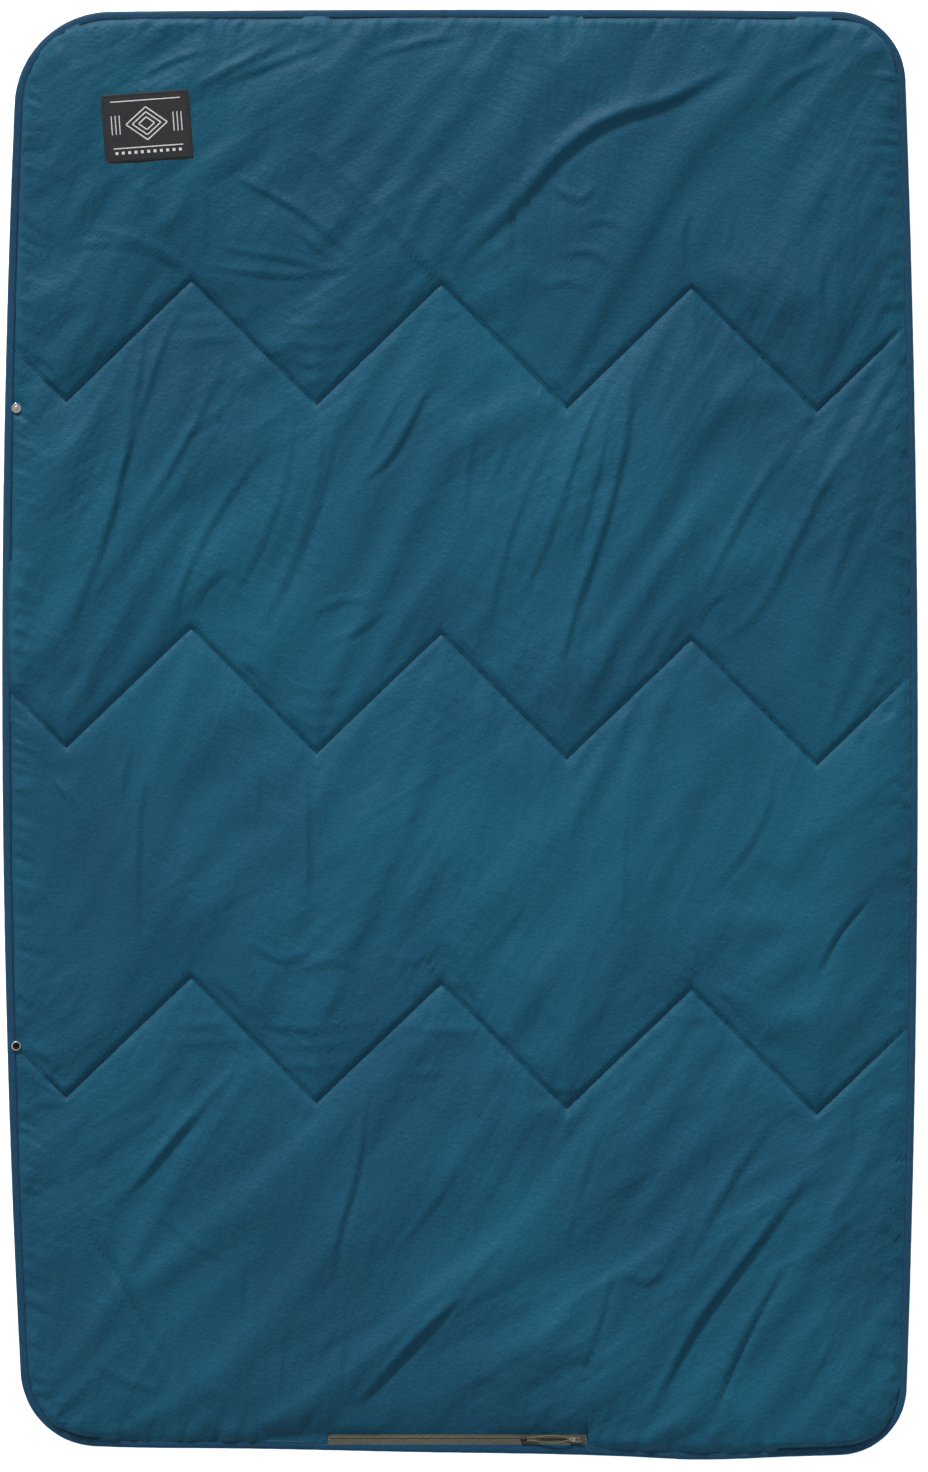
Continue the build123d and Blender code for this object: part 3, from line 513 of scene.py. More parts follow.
# Folds (height above 0) and creases (below 0) in the front shell: (half width, height, points along it).
# The light comes from the head, so a ridge is bright on its upper left and dark on its lower right.
FOLDS = [
    # above the first row
    (7, 1.6, [(-24, 573), (-75, 633), (-146, 704), (-197, 739)]),
    (6, 1.4, [(-24, 573), (-55, 603), (-106, 654)]),
    (4, 0.9, [(-65, 744), (-30, 708), (10, 664)]),
    (13, 3.2, [(-15, 580), (25, 628), (66, 664), (126, 739), (187, 780), (268, 800), (338, 842)]),
    (6, -1.8, [(66, 684), (69, 633), (66, 593)]),
    (5, -1.3, [(89, 699), (84, 640), (81, 583)]),
    (8, 1.6, [(116, 690), (152, 669), (170, 692)]),
    (8, 1.6, [(126, 603), (167, 612), (200, 583)]),
    (6, 1.3, [(100, 560), (137, 574), (165, 556)]),
    (6, 1.4, [(150, 640), (190, 650), (215, 630)]),
    (6, -2.0, [(291, 570), (284, 625), (296, 660)]),
    (5, 1.3, [(333, 603), (347, 662)]),
    (6, -1.9, [(462, 603), (460, 532), (467, 477)]),
    (8, 1.6, [(478, 610), (476, 540), (480, 480)]),
    (6, 2.0, [(-342, 582), (-389, 618), (-469, 637)]),
    (6, 1.6, [(-344, 588), (-429, 623), (-505, 612)]),
    (6, 1.4, [(-352, 610), (-399, 684), (-430, 705)]),
    (4, -1.2, [(-313, 699), (-318, 640), (-316, 593)]),
    (6, 1.5, [(-322, 590), (-217, 576), (-121, 590)]),
    (6, 1.3, [(-300, 612), (-217, 600), (-136, 578)]),
    (7, 1.8, [(-282, 702), (-197, 660), (-126, 593)]),
    (6, 1.6, [(-176, 714), (-140, 680), (-100, 630)]),
    (6, 1.3, [(-215, 640), (-170, 606), (-126, 575)]),
    (5, 1.1, [(-232, 517), (-180, 512), (-131, 520)]),
    (5, 1.1, [(-225, 492), (-180, 488), (-138, 494)]),
    (4.5, 1.0, [(-212, 468), (-180, 464), (-150, 470)]),
    (4, 0.8, [(-200, 447), (-180, 444), (-164, 449)]),
    (7, 1.4, [(-412, 822), (-365, 850), (-312, 866)]),
    (7, 1.5, [(-342, 812), (-285, 842), (-228, 868)]),
    (7, 1.5, [(-310, 818), (-235, 846), (-160, 874)]),
    (7, 1.1, [(-120, 850), (-60, 872), (0, 880)]),
    (8, 1.2, [(380, 790), (420, 830), (470, 850)]),
    (6, 1.5, [(-552, 468), (-520, 448), (-497, 428)]),
    # between the first and second rows
    (8, 2.8, [(-397, 522), (-414, 401), (-444, 250), (-490, 144)]),
    (6, 1.9, [(-368, 512), (-399, 421), (-429, 320)]),
    (8, 2.2, [(-293, 482), (-338, 381), (-399, 280)]),
    (6, 1.2, [(-277, 441), (-310, 400), (-348, 376)]),
    (6, -2.0, [(-205, 411), (-209, 330), (-242, 240), (-293, 149)]),
    (7, 2.0, [(-176, 398), (-178, 320), (-207, 229), (-257, 128)]),
    (6, -1.9, [(-151, 388), (-170, 290), (-205, 200), (-247, 128)]),
    (7, 2.0, [(-247, 361), (-308, 280), (-353, 189), (-363, 128)]),
    (8, 2.3, [(-40, 440), (-86, 351), (-121, 320)]),
    (6, 1.3, [(-74, 432), (-100, 380), (-112, 360)]),
    (7, 1.4, [(25, 421), (7, 320), (0, 240)]),
    (6, 1.3, [(66, 391), (36, 310)]),
    (7, 1.7, [(116, 382), (71, 280), (46, 199), (31, 118)]),
    (7, 2.2, [(187, 452), (147, 361), (116, 260), (66, 149)]),
    (8, 2.6, [(219, 484), (207, 361), (172, 240), (131, 118), (116, 50)]),
    (6, -1.5, [(197, 421), (177, 320), (147, 219)]),
    (8, 2.2, [(444, 404), (379, 320), (328, 229), (305, 172)]),
    (8, 2.0, [(468, 335), (419, 240), (374, 149), (328, 116)]),
    (7, 1.2, [(505, 300), (478, 220), (452, 150)]),
    (6, -2.2, [(-326, 138), (-330, 174), (-290, 206)]),
    (6, -1.8, [(298, 126), (313, 159), (340, 176)]),
    (4.5, 1.0, [(-363, 544), (-340, 540), (-308, 546)]),
    (5, 1.2, [(-376, 522), (-335, 517), (-288, 524)]),
    (5, 1.1, [(-382, 500), (-335, 494), (-267, 503)]),
    (5, 0.8, [(-64, 532), (-24, 528), (16, 534)]),
    (5, 0.9, [(-217, 58), (-176, 54), (-136, 60)]),
    (4.5, 0.9, [(-207, 33), (-176, 30), (-146, 35)]),
    (4, 0.8, [(-197, 12), (-176, 9), (-156, 13)]),
    (7, 1.3, [(-190, 150), (-150, 172), (-110, 168)]),
    (7, 1.3, [(-172, 112), (-130, 130), (-90, 160)]),
    # between the second and third rows
    (6, -2.0, [(-414, -18), (-421, -88)]),
    (6, 2.2, [(-395, -24), (-409, -149), (-404, -270)]),
    (6, -2.4, [(-189, -48), (-185, -149), (-189, -232)]),
    (6, 1.0, [(-257, -40), (-257, -118)]),
    (6, 1.2, [(209, -48), (205, -150), (203, -260)]),
    (5, 0.9, [(187, -78), (184, -200)]),
    (7, -1.9, [(404, -38), (389, -119), (323, -204)]),
    (7, -2.2, [(518, -208), (475, -255), (453, -308)]),
    (8, 1.0, [(80, -215), (25, -282)]),
    (6, 1.2, [(-267, -366), (-190, -372), (-106, -361)]),
    (5, 1.1, [(-242, -391), (-185, -396), (-126, -388)]),
    (4.5, 1.0, [(-225, -417), (-181, -421), (-136, -414)]),
    (7, 1.2, [(-262, -262), (-220, -290), (-180, -262)]),
    (7, 1.2, [(-205, -300), (-160, -280), (-120, -300)]),
    (7, 1.0, [(-100, -275), (-60, -292), (-30, -270)]),
    (5, -1.8, [(-28, -308), (-42, -282)]),
    (5, -1.8, [(293, -313), (304, -280)]),
    (5, -1.4, [(-334, -300), (-340, -272)]),
    (7, 1.4, [(-512, -56), (-480, -95)]),
    (5, 0.7, [(90, -445), (132, -450), (170, -444)]),
    # below the third row
    (9, 3.0, [(-288, -424), (-353, -497), (-420, -577)]),
    (6, 1.2, [(-411, -407), (-400, -455)]),
    (8, -3.0, [(-490, -558), (-469, -629), (-429, -684), (-394, -755), (-352, -822)]),
    (7, 1.2, [(-389, -593), (-338, -644), (-288, -664)]),
    (6, -1.6, [(-269, -666), (-271, -748)]),
    (7, -3.0, [(-112, -450), (-121, -543), (-144, -614), (-156, -664), (-155, -738)]),
    (5, -1.8, [(-218, -752), (-223, -850)]),
    (5, -1.8, [(-138, -742), (-152, -842)]),
    (9, 3.2, [(3, -700), (-65, -765), (-130, -842)]),
    (7, 1.5, [(179, -472), (149, -573), (130, -636)]),
    (6, -2.0, [(199, -662), (177, -755), (140, -842)]),
    (9, 2.6, [(392, -488), (334, -563), (284, -660)]),
    (10, 3.4, [(434, -556), (359, -654), (288, -745), (238, -856)]),
    (8, -3.0, [(416, -665), (364, -755), (320, -858)]),
    (5, -1.6, [(500, -462), (498, -523)]),
    (9, 1.8, [(205, -676), (236, -690), (255, -670)]),
    (6, 1.8, [(-548, -405), (-520, -432), (-492, -452)]),
    (5, 1.5, [(-538, -436), (-495, -456)]),
    (5, 1.4, [(-540, -468), (-497, -461)]),
    (4.5, 1.0, [(-363, -341), (-335, -345), (-308, -339)]),
    (5, 1.1, [(-376, -364), (-335, -369), (-288, -362)]),
    (5, 1.0, [(-390, -386), (-335, -391), (-275, -384)]),
    (6, 1.2, [(-74, -368), (-25, -376), (28, -368)]),
    (6, 1.1, [(-80, -424), (-40, -430), (4, -418)]),
    (5, 0.8, [(262, -356), (292, -360), (322, -354)]),
    (7, 1.2, [(18, -500), (-15, -563), (-76, -644)]),
    (7, 1.0, [(50, -640), (0, -700)]),
    (8, 1.4, [(-462, -790), (-420, -816), (-375, -826)]),
    (8, 1.2, [(470, -760), (430, -830)]),
]


def folds_height(xy):
    """The folds' heights: each is a ridge, steeper on its lower right, that fades towards its ends."""
    height = np.zeros(len(xy))
    for width, tall, line in FOLDS:
        line = np.asarray(line, float)
        low, high = line.min(0) - 4 * width, line.max(0) + 4 * width
        near = np.where(((xy > low) & (xy < high)).all(1))[0]
        if not len(near):
            continue
        far, along, side = distance_to_line(xy[near], smooth_line(line))
        down = np.array([0.55, -0.83])
        d = line[-1] - line[0]
        lower = np.sign(-d[1] * down[0] + d[0] * down[1]) or 1.0
        signed = far * side * lower
        fade = np.sin(np.pi * np.clip(along, 0, 1)) ** 0.55
        wide = 0.8 * width * (0.65 + 0.35 * fade)
        if tall > 0:
            shape = np.exp(-(np.where(signed > 0, signed / 0.62, signed) / wide) ** 2)
            shape -= 0.35 * np.exp(-((signed - 1.5 * wide) / (0.7 * wide)) ** 2)
        else:
            shape = np.exp(-(signed / (0.55 * wide)) ** 2)
            shape -= 0.45 * np.exp(-((signed + 1.4 * wide) / wide) ** 2)
        height[near] += tall * shape * fade
    return height


def smooth_line(line):
    """A run of straight pieces with its corners cut twice."""
    for _ in range(2):
        a, b = line[:-1], line[1:]
        cut = np.empty((2 * len(a), 2))
        cut[0::2], cut[1::2] = 0.75 * a + 0.25 * b, 0.25 * a + 0.75 * b
        line = np.concatenate([line[:1], cut[1:-1] if len(a) > 1 else cut, line[-1:]])
    return line


# ---------------------------------------------------------------- cloth simulation of the front shell
SIM_FRAMES, SEWN_BY, SOFT_HOLD = 18, 8, 0.04
# Spare cloth, and the way that its wrinkles run (degrees from +X), from the foot to the head
EASE_Y = (-640, -180, 270, 700)
EASE = (0.0075, 0.0035, 0.0075, 0.006)
EASE_ACROSS = (52, 86, 68, 58)


def simulate(flat, seam_rows, start_z, edge):
    """Sews the front shell, cut a little larger than its place, onto its seams. Returns how far it moves."""
    nr, nc = flat.shape[:2]
    points = np.concatenate([flat, start_z[..., None]], -1).reshape(-1, 3)
    x, y = points[:, 0], points[:, 1]
    strain = np.interp(y, EASE_Y, EASE)
    turned = np.radians(np.interp(y, EASE_Y, EASE_ACROSS))
    nx, ny = np.sin(turned), -np.cos(turned)
    cut = points.copy()
    cut[:, 0] += strain * (x * nx ** 2 + 2 * y * nx * ny)
    cut[:, 1] += strain * y * ny ** 2
    obj = make_mesh("simulated", cut, grid_faces(nr, nc), MATERIALS["shell"])
    held = np.zeros((nr, nc), bool)
    held[seam_rows] = True
    held[0], held[-1], held[:, 0], held[:, -1] = True, True, True, True
    held |= (edge < 8).reshape(nr, nc)
    group = obj.vertex_groups.new(name="sewn")
    group.add(np.where(held.reshape(-1))[0].tolist(), 1.0, "REPLACE")
    group.add(np.where(~held.reshape(-1))[0].tolist(), SOFT_HOLD, "REPLACE")
    obj.shape_key_add(name="Basis")
    sewn = obj.shape_key_add(name="sewn")
    sewn.data.foreach_set("co", (points * MM).reshape(-1))
    for value, number in ((0.0, 1), (1.0, SEWN_BY)):
        sewn.value = value
        sewn.keyframe_insert("value", frame=number)
    cloth = obj.modifiers.new("cloth", "CLOTH")
    s = cloth.settings
    s.quality, s.mass, s.air_damping = 5, 0.1, 1.5
    s.tension_stiffness = s.compression_stiffness = 15
    s.shear_stiffness, s.bending_stiffness = 6, 0.3
    s.tension_damping = s.compression_damping = s.shear_damping = 5
    s.bending_damping = 0.3
    s.vertex_group_mass = "sewn"
    s.effector_weights.gravity = 0
    cloth.collision_settings.use_self_collision = False
    cloth.collision_settings.use_collision = False
    cloth.point_cache.frame_start, cloth.point_cache.frame_end = 1, SIM_FRAMES
    scene = bpy.context.scene
    for number in range(1, SIM_FRAMES + 1):
        scene.frame_set(number)
    done = obj.evaluated_get(bpy.context.evaluated_depsgraph_get())
    out = np.empty(nr * nc * 3)
    done.data.vertices.foreach_get("co", out)
    scene.frame_set(1)
    bpy.data.objects.remove(obj)
    moved = (out.reshape(-1, 3) / MM - points).reshape(nr, nc, 3)
    moved[..., :2] = np.clip(moved[..., :2], -3, 3)
    return moved


def soft_limit(value, low, high):
    """Between low and high, leaving small values almost alone."""
    return np.where(value > 0, high * np.tanh(value / high), low * np.tanh(value / low))


def refine(grid, breaks):
    """Twice as fine in both directions; smooth inside each band and sharp across the seams."""
    def halfway(a):
        out = np.empty((2 * len(a) - 1, *a.shape[1:]))
        out[0::2], out[1::2] = a, (a[1:] + a[:-1]) / 2
        return out

    def doubled(a, cuts):
        parts = []
        for start, stop in zip(cuts, cuts[1:]):
            part = a[start:stop + 1]
            padded = np.concatenate([2 * part[:1] - part[1:2], part, 2 * part[-1:] - part[-2:-1]])
            middle = (9 * (padded[1:-2] + padded[2:-1]) - padded[:-3] - padded[3:]) / 16
            out = np.empty((2 * len(part) - 1, *part.shape[1:]))
            out[0::2], out[1::2] = part, middle
            parts.append(out if not parts else out[1:])
        return np.concatenate(parts)

    grid = doubled(grid, [0] + breaks + [len(grid) - 1])
    across = grid.swapaxes(0, 1)
    fine = doubled(across, [0, grid.shape[1] - 1])
    fine[..., :2] = halfway(across[..., :2])
    return fine.swapaxes(0, 1)


# ---------------------------------------------------------------- shells and padding
def front_height(xy, seams, edge):
    puff = np.ones(len(xy))
    for distance in seams:
        puff *= quilted(distance, 95)
    puff *= quilted(np.maximum(edge - BIND_W, 0), 95)
    puff *= 1 - np.exp(-zip_distance(xy) / 13)
    puff *= 1 - np.exp(-(np.maximum(snap_distance(xy) - 7.0, 0) / 7) ** 2)
    waves = 0.07 * noise_field(xy, 95, 3.1) + 0.05 * noise_field(xy, 48, 8.2, (2.2, 0.8), SHEAR_DIRECTION)
    return SEAM_Z + LOFT * puff * (0.93 + waves)


def quilted(distance, reach):
    """Height beside a seam, 0 to 1: the cloth turns up sharply out of the stitches, then rises gently."""
    sharp = 1 - np.exp(-distance / 2.6)
    return 0.34 * sharp + 0.66 * (1 - (1 - np.clip(distance / reach, 0, 1)) ** 2.2)


def zip_distance(xy):
    """Distance to the zip and to the place past its left end where the open pull lies."""
    dx = np.maximum(np.maximum(ZIP_X0 - PULL_LIES - xy[:, 0], xy[:, 0] - ZIP_X1), 0)
    return np.hypot(dx, np.maximum(np.abs(xy[:, 1] - ZIP_Y) - 6.5, 0))


def snap_distance(xy):
    return np.minimum(*[np.hypot(xy[:, 0] - SNAP_X, xy[:, 1] - y) for y in (SNAP_STUD_Y, SNAP_SOCKET_Y)])


def along_edge(xy, edge, reach):
    """How far along the outline the nearest point of the edge is, for the points within reach of it."""
    path, _, at = outline_path(4.0)
    out = np.zeros(len(xy))
    near = np.where(edge < reach)[0]
    for part in np.array_split(near, max(1, len(near) // 2000)):
        out[part] = at[((xy[part, None] - path[None]) ** 2).sum(-1).argmin(1)]
    return out


def pucker(xy, seams, edge):
    """Small gathers across the seams and along the binding."""
    along = along_edge(xy, edge, 75.0)
    inward = np.maximum(edge - BIND_W, 0)
    height = np.zeros(len(xy))
    for i in np.where(edge < 75)[0]:
        a, d = along[i], inward[i]
        reach = 16 + 30 * max(0.0, noise.noise((a / 31, 5.0, 0)) + 0.35)
        lean = a + d * (0.8 * noise.noise((a / 90, 9.0, 0)) - 0.35)
        gather = noise.noise((lean / 8.5, d / 70, 0)) + 0.7 * noise.noise((lean / 17.0, d / 60, 3.0))
        height[i] += 3.0 * gather * math.exp(-(d / reach) ** 2) * min(d / 3, 1)
    for row in range(3):
        beside = np.where(seams[row] < 34)[0]
        _, share, side = distance_to_line(xy[beside], seam_line(row, SHELL_IN))
        for i, t, up in zip(beside, share * 1500, side):
            d = seams[row][i]
            gather = noise.noise((t / 7.5, d / 40, 11.0 * row + up))
            gather += 0.6 * noise.noise((t / 15, d / 50, 40 + row + up))
            height[i] += 1.5 * gather * math.exp(-(d / 15) ** 2) * min(d / 3, 1)
    return height


def under_label(xy):
    """1 under the label, 0 away from it."""
    u, v = off_label(xy[:, 0], xy[:, 1])
    past = np.maximum(np.maximum(np.abs(u) - LABEL_SIZE[0] / 2, np.abs(v) - LABEL_SIZE[1] / 2), 0)
    return np.exp(-(past / 14) ** 2)


def looseness(seams, edge):
    """How free the cloth is to move: 0 at its seams and its edge, 1 away from them."""
    return np.minimum(swell(seams.min(0), 16), swell(np.maximum(edge - 4, 0), 14))


def make_front_shell():
    flat, seam_rows = cloth_grid(SHELL_IN, True)
    nr, nc = flat.shape[:2]
    xy = flat.reshape(-1, 2)
    seams, edge = fields(xy)
    loose = looseness(seams, edge)
    start = front_height(xy, seams, edge) + loose * folds_height(xy)
    moved = simulate(flat, seam_rows, start.reshape(nr, nc), edge)
    fine = refine(np.concatenate([flat, moved], -1), seam_rows)
    fr, fc = fine.shape[:2]
    xy = fine[..., :2].reshape(-1, 2)
    seams, edge = fields(xy)
    loose = looseness(seams, edge)
    z = front_height(xy, seams, edge)
    room = np.minimum(0.42 * (z - SEAM_Z) + 0.05, 4.0) * np.clip(seams.min(0) / 30, 0.05, 1)
    z += soft_limit(fine[..., 4].reshape(-1), -room, 1.4 * room)
    z += loose * folds_height(xy) * 1.5 + pucker(xy, seams, edge) * np.minimum(1, zip_distance(xy) / 12)
    flatter = under_label(xy)
    z = z * (1 - flatter) + (20.95 + 0.25 * (z - 20.5).clip(-2, 0.5)) * flatter
    z = np.where(edge < BIND_W + 1, np.minimum(z, EDGE_Z + 0.2), z)
    z = np.where(snap_distance(xy) < 8, np.minimum(z, SNAP_FLOOR - 0.15), z)
    z = np.maximum(z, EDGE_Z - 0.4)
    spread = fine[..., 2:4].reshape(-1, 2) * (loose * (1 - flatter))[:, None]
    points = np.column_stack([xy + spread, z])
    obj = make_mesh("front_shell", points, grid_faces(fr, fc), MATERIALS["shell"])
    shell_piece(obj)
    return points.reshape(fr, fc, 3)


def bending_piece(obj, node):
    """A continuous piece that stands for its two halves."""
    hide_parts(node + "_foot", node + "_head")
    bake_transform(obj)


def shell_piece(obj):
    bending_piece(obj, obj.name)


def riding_piece(obj, body, node):
    """A piece that stands for one CAD node and moves with one body."""
    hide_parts(node)
    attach(obj, body)


def make_back_shell():
    flat, seam_rows = cloth_grid(SHELL_IN, False)
    fine = refine(flat, seam_rows)
    fr, fc = fine.shape[:2]
    xy = fine.reshape(-1, 2)
    seams, edge = fields(xy)
    puff = np.ones(len(xy))
    for distance in seams:
        puff *= swell(distance, 26)
    puff *= swell(np.maximum(edge - 8, 0), 26)
    wrinkle = np.abs(noise_field(xy, 46, 15.0, (2.6, 0.8), SHEAR_DIRECTION - 1.2))
    wrinkle = wrinkle + 0.6 * np.abs(noise_field(xy, 24, 5.0))
    z = BACK_SEAM_Z - (BACK_SEAM_Z - BACK_LOW_Z) * puff
    z = z + 2.4 * np.maximum(0.42 - wrinkle, 0) * swell(edge, 30)
    z += 0.4 * pucker(xy, seams, edge)
    z = np.clip(z, 0.05, BACK_SEAM_Z + 0.4)
    z = np.where(edge < BIND_W + 1, np.maximum(z, BACK_SEAM_Z - 0.2), z)
    obj = make_mesh("back_shell", np.column_stack([xy, z]), grid_faces(fr, fc, flip=True), MATERIALS["shell"])
    shell_piece(obj)


def make_padding(shell):
    """The fibre padding: a closed form a little thinner than the space between the shells."""
    lowest = shell[..., 2].copy()
    for shift in (-1, 1):
        for axis in (0, 1):
            lowest = np.minimum(lowest, np.roll(shell[..., 2], shift, axis))
    keep = [2] + list(range(4, shell.shape[0] - 4, 2)) + [shell.shape[0] - 3]
    keep_x = [2] + list(range(4, shell.shape[1] - 4, 2)) + [shell.shape[1] - 3]
    xy = shell[np.ix_(keep, keep_x)][..., :2]
    nr, nc = xy.shape[:2]
    top = lowest[np.ix_(keep, keep_x)].reshape(-1)
    xy = xy.reshape(-1, 2)
    seams, edge = fields(xy)
    top = top - 0.9 - 1.1 * swell(seams.min(0), 20) - 0.5 * noise_field(xy, 16, 2.0)
    low = np.full(len(xy), BACK_SEAM_Z + 1.2)
    upper = np.column_stack([xy, np.maximum(top, low + 0.5)]).reshape(nr, nc, 3)
    lower = np.column_stack([xy, low]).reshape(nr, nc, 3)
    ring = np.concatenate([np.arange(nc), np.arange(1, nr) * nc + nc - 1,
                           (nr - 1) * nc + np.arange(nc - 2, -1, -1), np.arange(nr - 2, 0, -1) * nc])
    faces = grid_faces(nr, nc) + [[i + nr * nc for i in f] for f in grid_faces(nr, nc, flip=True)]
    after = np.roll(ring, -1)
    faces += np.stack([ring + nr * nc, after + nr * nc, after, ring], 1).tolist()
    points = np.concatenate([upper.reshape(-1, 3), lower.reshape(-1, 3)])
    obj = make_mesh("insulation", points, faces, MATERIALS["padding"])
    bending_piece(obj, "insulation")


# ---------------------------------------------------------------- binding tape

def binding_profile(bulge, width):
    """The folded tape's section, (in from the edge, height), from its inner edge in front to that behind."""
    top, low = 7.55 + bulge, 1.15
    return [
        (width, EDGE_Z + 0.25), (width + 0.1, top - 0.35), (width - 0.7, top), (width * 0.7, top + 0.18),
        (width * 0.42, top + 0.12), (2.2, top - 0.15), (0.75, top - 1.0), (0.12, top - 2.3),
        (0.12, low + 2.0), (0.8, low + 0.7), (2.4, low + 0.05), (width * 0.5, low - 0.1),
        (width - 0.7, low), (width, low + 0.5),
    ]


def make_binding():
    path, normal, at = outline_path(3.2)
    n = len(path)
    ripple = np.array([0.55 * noise.noise((t / 14.0, 1.3, 0)) + 0.3 * noise.noise((t / 6.0, 7.7, 0))
                       for t in at])
    wander = np.array([noise.noise((t / 60.0, 4.4, 0)) for t in at])
    join = np.clip(1 - np.abs(path[:, 0] - JOIN_X + 11) / 11, 0, 1) * (path[:, 1] < NEAR_FOOT_Y)
    lap = (join > 0) * 0.55
    rings = []
    for i in range(n):
        width = BIND_W + 0.7 * wander[i] + 0.45 * ripple[i]
        if path[i, 1] < NEAR_FOOT_Y:
            past = max(ZIP_X0 - path[i, 0], path[i, 0] - ZIP_X1, 0) / 30
            share = max(0.0, 1 - past) ** 2 * (3 - 2 * max(0.0, 1 - past))
            width += share * (ZIP_Y - 6.6 - path[i, 1] - width)
        ring = []
        for inward, z in binding_profile(0.45 * ripple[i] + lap[i], width):
            out = 0.35 * lap[i] - inward + (0.25 * ripple[i] if inward < 3 else 0)
            side = 1 if z > 4.4 else -1
            ring.append((path[i, 0] + normal[i, 0] * out, path[i, 1] + normal[i, 1] * out,
                         z + (0 if side > 0 else -0.3 * lap[i])))
        rings.append(ring)
    rings = np.array(rings)
    m = rings.shape[1]
    index = np.arange(n * m).reshape(n, m)
    after = np.roll(index, -1, 0)
    faces = np.stack([index[:, :-1], index[:, 1:], after[:, 1:], after[:, :-1]], -1).reshape(-1, 4).tolist()
    obj = make_mesh("edge_binding", rings.reshape(-1, 3), faces, MATERIALS["binding"])
    thicken(obj, 0.0004)
    bending_piece(obj, "edge_binding")


def thicken(obj, thickness):
    """Gives a sheet its thickness, inward, and applies it."""
    solid = obj.modifiers.new("thickness", "SOLIDIFY")
    solid.thickness, solid.offset = thickness, -1
    apply_modifiers(obj)


def apply_modifiers(obj):
    done = obj.evaluated_get(bpy.context.evaluated_depsgraph_get())
    mesh = bpy.data.meshes.new_from_object(done)
    obj.modifiers.clear()
    obj.data = mesh


# ---------------------------------------------------------------- thread
# A stitch's sections: (share of its length from the middle, share of its width, share of its height)
STITCH_SHAPE = ((-0.5, 0.25, -0.3), (-0.36, 0.85, 0.55), (0.0, 1.0, 1.0), (0.36, 0.85, 0.55),
                (0.5, 0.25, -0.3))


def stitch_run(places, length, width, height):
    """Stitches as small rounded bars: places are (x, y, z, angle). Returns points and faces."""
    shape = []
    for u, wide, high in STITCH_SHAPE:
        for a in map(math.radians, (0, 60, 120, 180)):
            shape.append((u * length, math.cos(a) * wide * width / 2, math.sin(a) * high * height))
    shape = np.array(shape)
    quads = [[4 * i + j, 4 * i + j + 1, 4 * i + j + 5, 4 * i + j + 4] for i in range(4) for j in range(3)]
    quads += [[0, 3, 2, 1], [16, 17, 18, 19]]
    quads = [q[::-1] for q in quads]
    points, faces = [], []
    for x, y, z, angle in places:
        c, s = math.cos(angle), math.sin(angle)
        turned = np.column_stack([
            x + shape[:, 0] * c - shape[:, 1] * s,
            y + shape[:, 0] * s + shape[:, 1] * c,
            z + shape[:, 2] * math.copysign(1, height),
        ])
        start = len(points) * len(shape)
        points.append(turned)
        faces += [[i + start for i in (q if height > 0 else q[::-1])] for q in quads]
    return np.concatenate(points), faces


def stitches_on_both(name, front, back):
    """Thread on the front and on the back face; each is what stitch_run takes."""
    top, faces = stitch_run(*front)
    low, more = stitch_run(*back)
    faces += [[i + len(top) for i in f] for f in more]
    return make_mesh(name, np.concatenate([top, low]), faces, MATERIALS["thread"])


def along_line(line, pitch, start=2.0):
    """Evenly spaced places along a line of points: (x, y, angle)."""
    out = []
    line = np.asarray(line, float)
    for a, b in zip(line, line[1:]):
        long = np.linalg.norm(b - a)
        angle = math.atan2(*(b - a)[::-1])
        count = max(1, int(round((long - start) / pitch)))
        for k in range(count):
            p = a + (b - a) * (k + 0.5) / count
            out.append((p[0], p[1], angle))
    return out


def make_quilting():
    for row in range(3):
        name = f"quilting_stitch_{row + 1}"
        places = along_line(seam_line(row, 11.0), 3.0)
        obj = stitches_on_both(name, ([(x, y, SEAM_Z + 0.05, a) for x, y, a in places], 2.5, 1.1, 0.5),
                               ([(x, y, BACK_SEAM_Z - 0.05, a) for x, y, a in places], 2.5, 0.75, -0.5))
        if row == 1:
            bending_piece(obj, name)
        else:
            riding_piece(obj, "head_half" if row == 0 else "foot_half", name)


def make_binding_stitches():
    path, normal, at = outline_path(4.2)
    angle = np.arctan2(normal[:, 0], -normal[:, 1])
    places = []
    for i, (p, n) in enumerate(zip(path, normal)):
        by_zip = p[1] < NEAR_FOOT_Y and ZIP_X0 - 3 < p[0] < ZIP_X1 + 3
        x, y = p - n * (ZIP_Y - 8.2 - p[1] if by_zip else STITCH_IN)
        if any(math.dist((x, y), (SNAP_X, snap_y)) < 7 for snap_y in (SNAP_STUD_Y, SNAP_SOCKET_Y)):
            continue
        ripple = noise.noise((at[i] / 14.0, 1.3, 0)) * 0.25
        places.append((x, y, 7.75 + ripple, angle[i]))
    obj = stitches_on_both("binding_stitch", (places, 3.1, 1.0, 0.45),
                           ([(x, y, 1.1, a) for x, y, _, a in places], 3.1, 1.0, -0.4))
    bending_piece(obj, "binding_stitch")


# ---------------------------------------------------------------- label
def on_label(u, v):
    """Row position of a place on the label, from its middle."""
    c, s = math.cos(LABEL_TILT), math.sin(LABEL_TILT)
    return LABEL_AT[0] + u * c - v * s, LABEL_AT[1] + u * s + v * c


def off_label(x, y):
    """The label's own coordinates of a row position."""
    c, s = math.cos(LABEL_TILT), math.sin(LABEL_TILT)
    dx, dy = x - LABEL_AT[0], y - LABEL_AT[1]
    return dx * c + dy * s, -dx * s + dy * c


def label_z(u, v):
    turned_down = 0.5 * (abs(u) / 56) ** 6 + 0.5 * (abs(v) / 44) ** 6
    return LABEL_Z + 0.35 * noise.noise((u / 22, v / 22, 3.0)) - turned_down


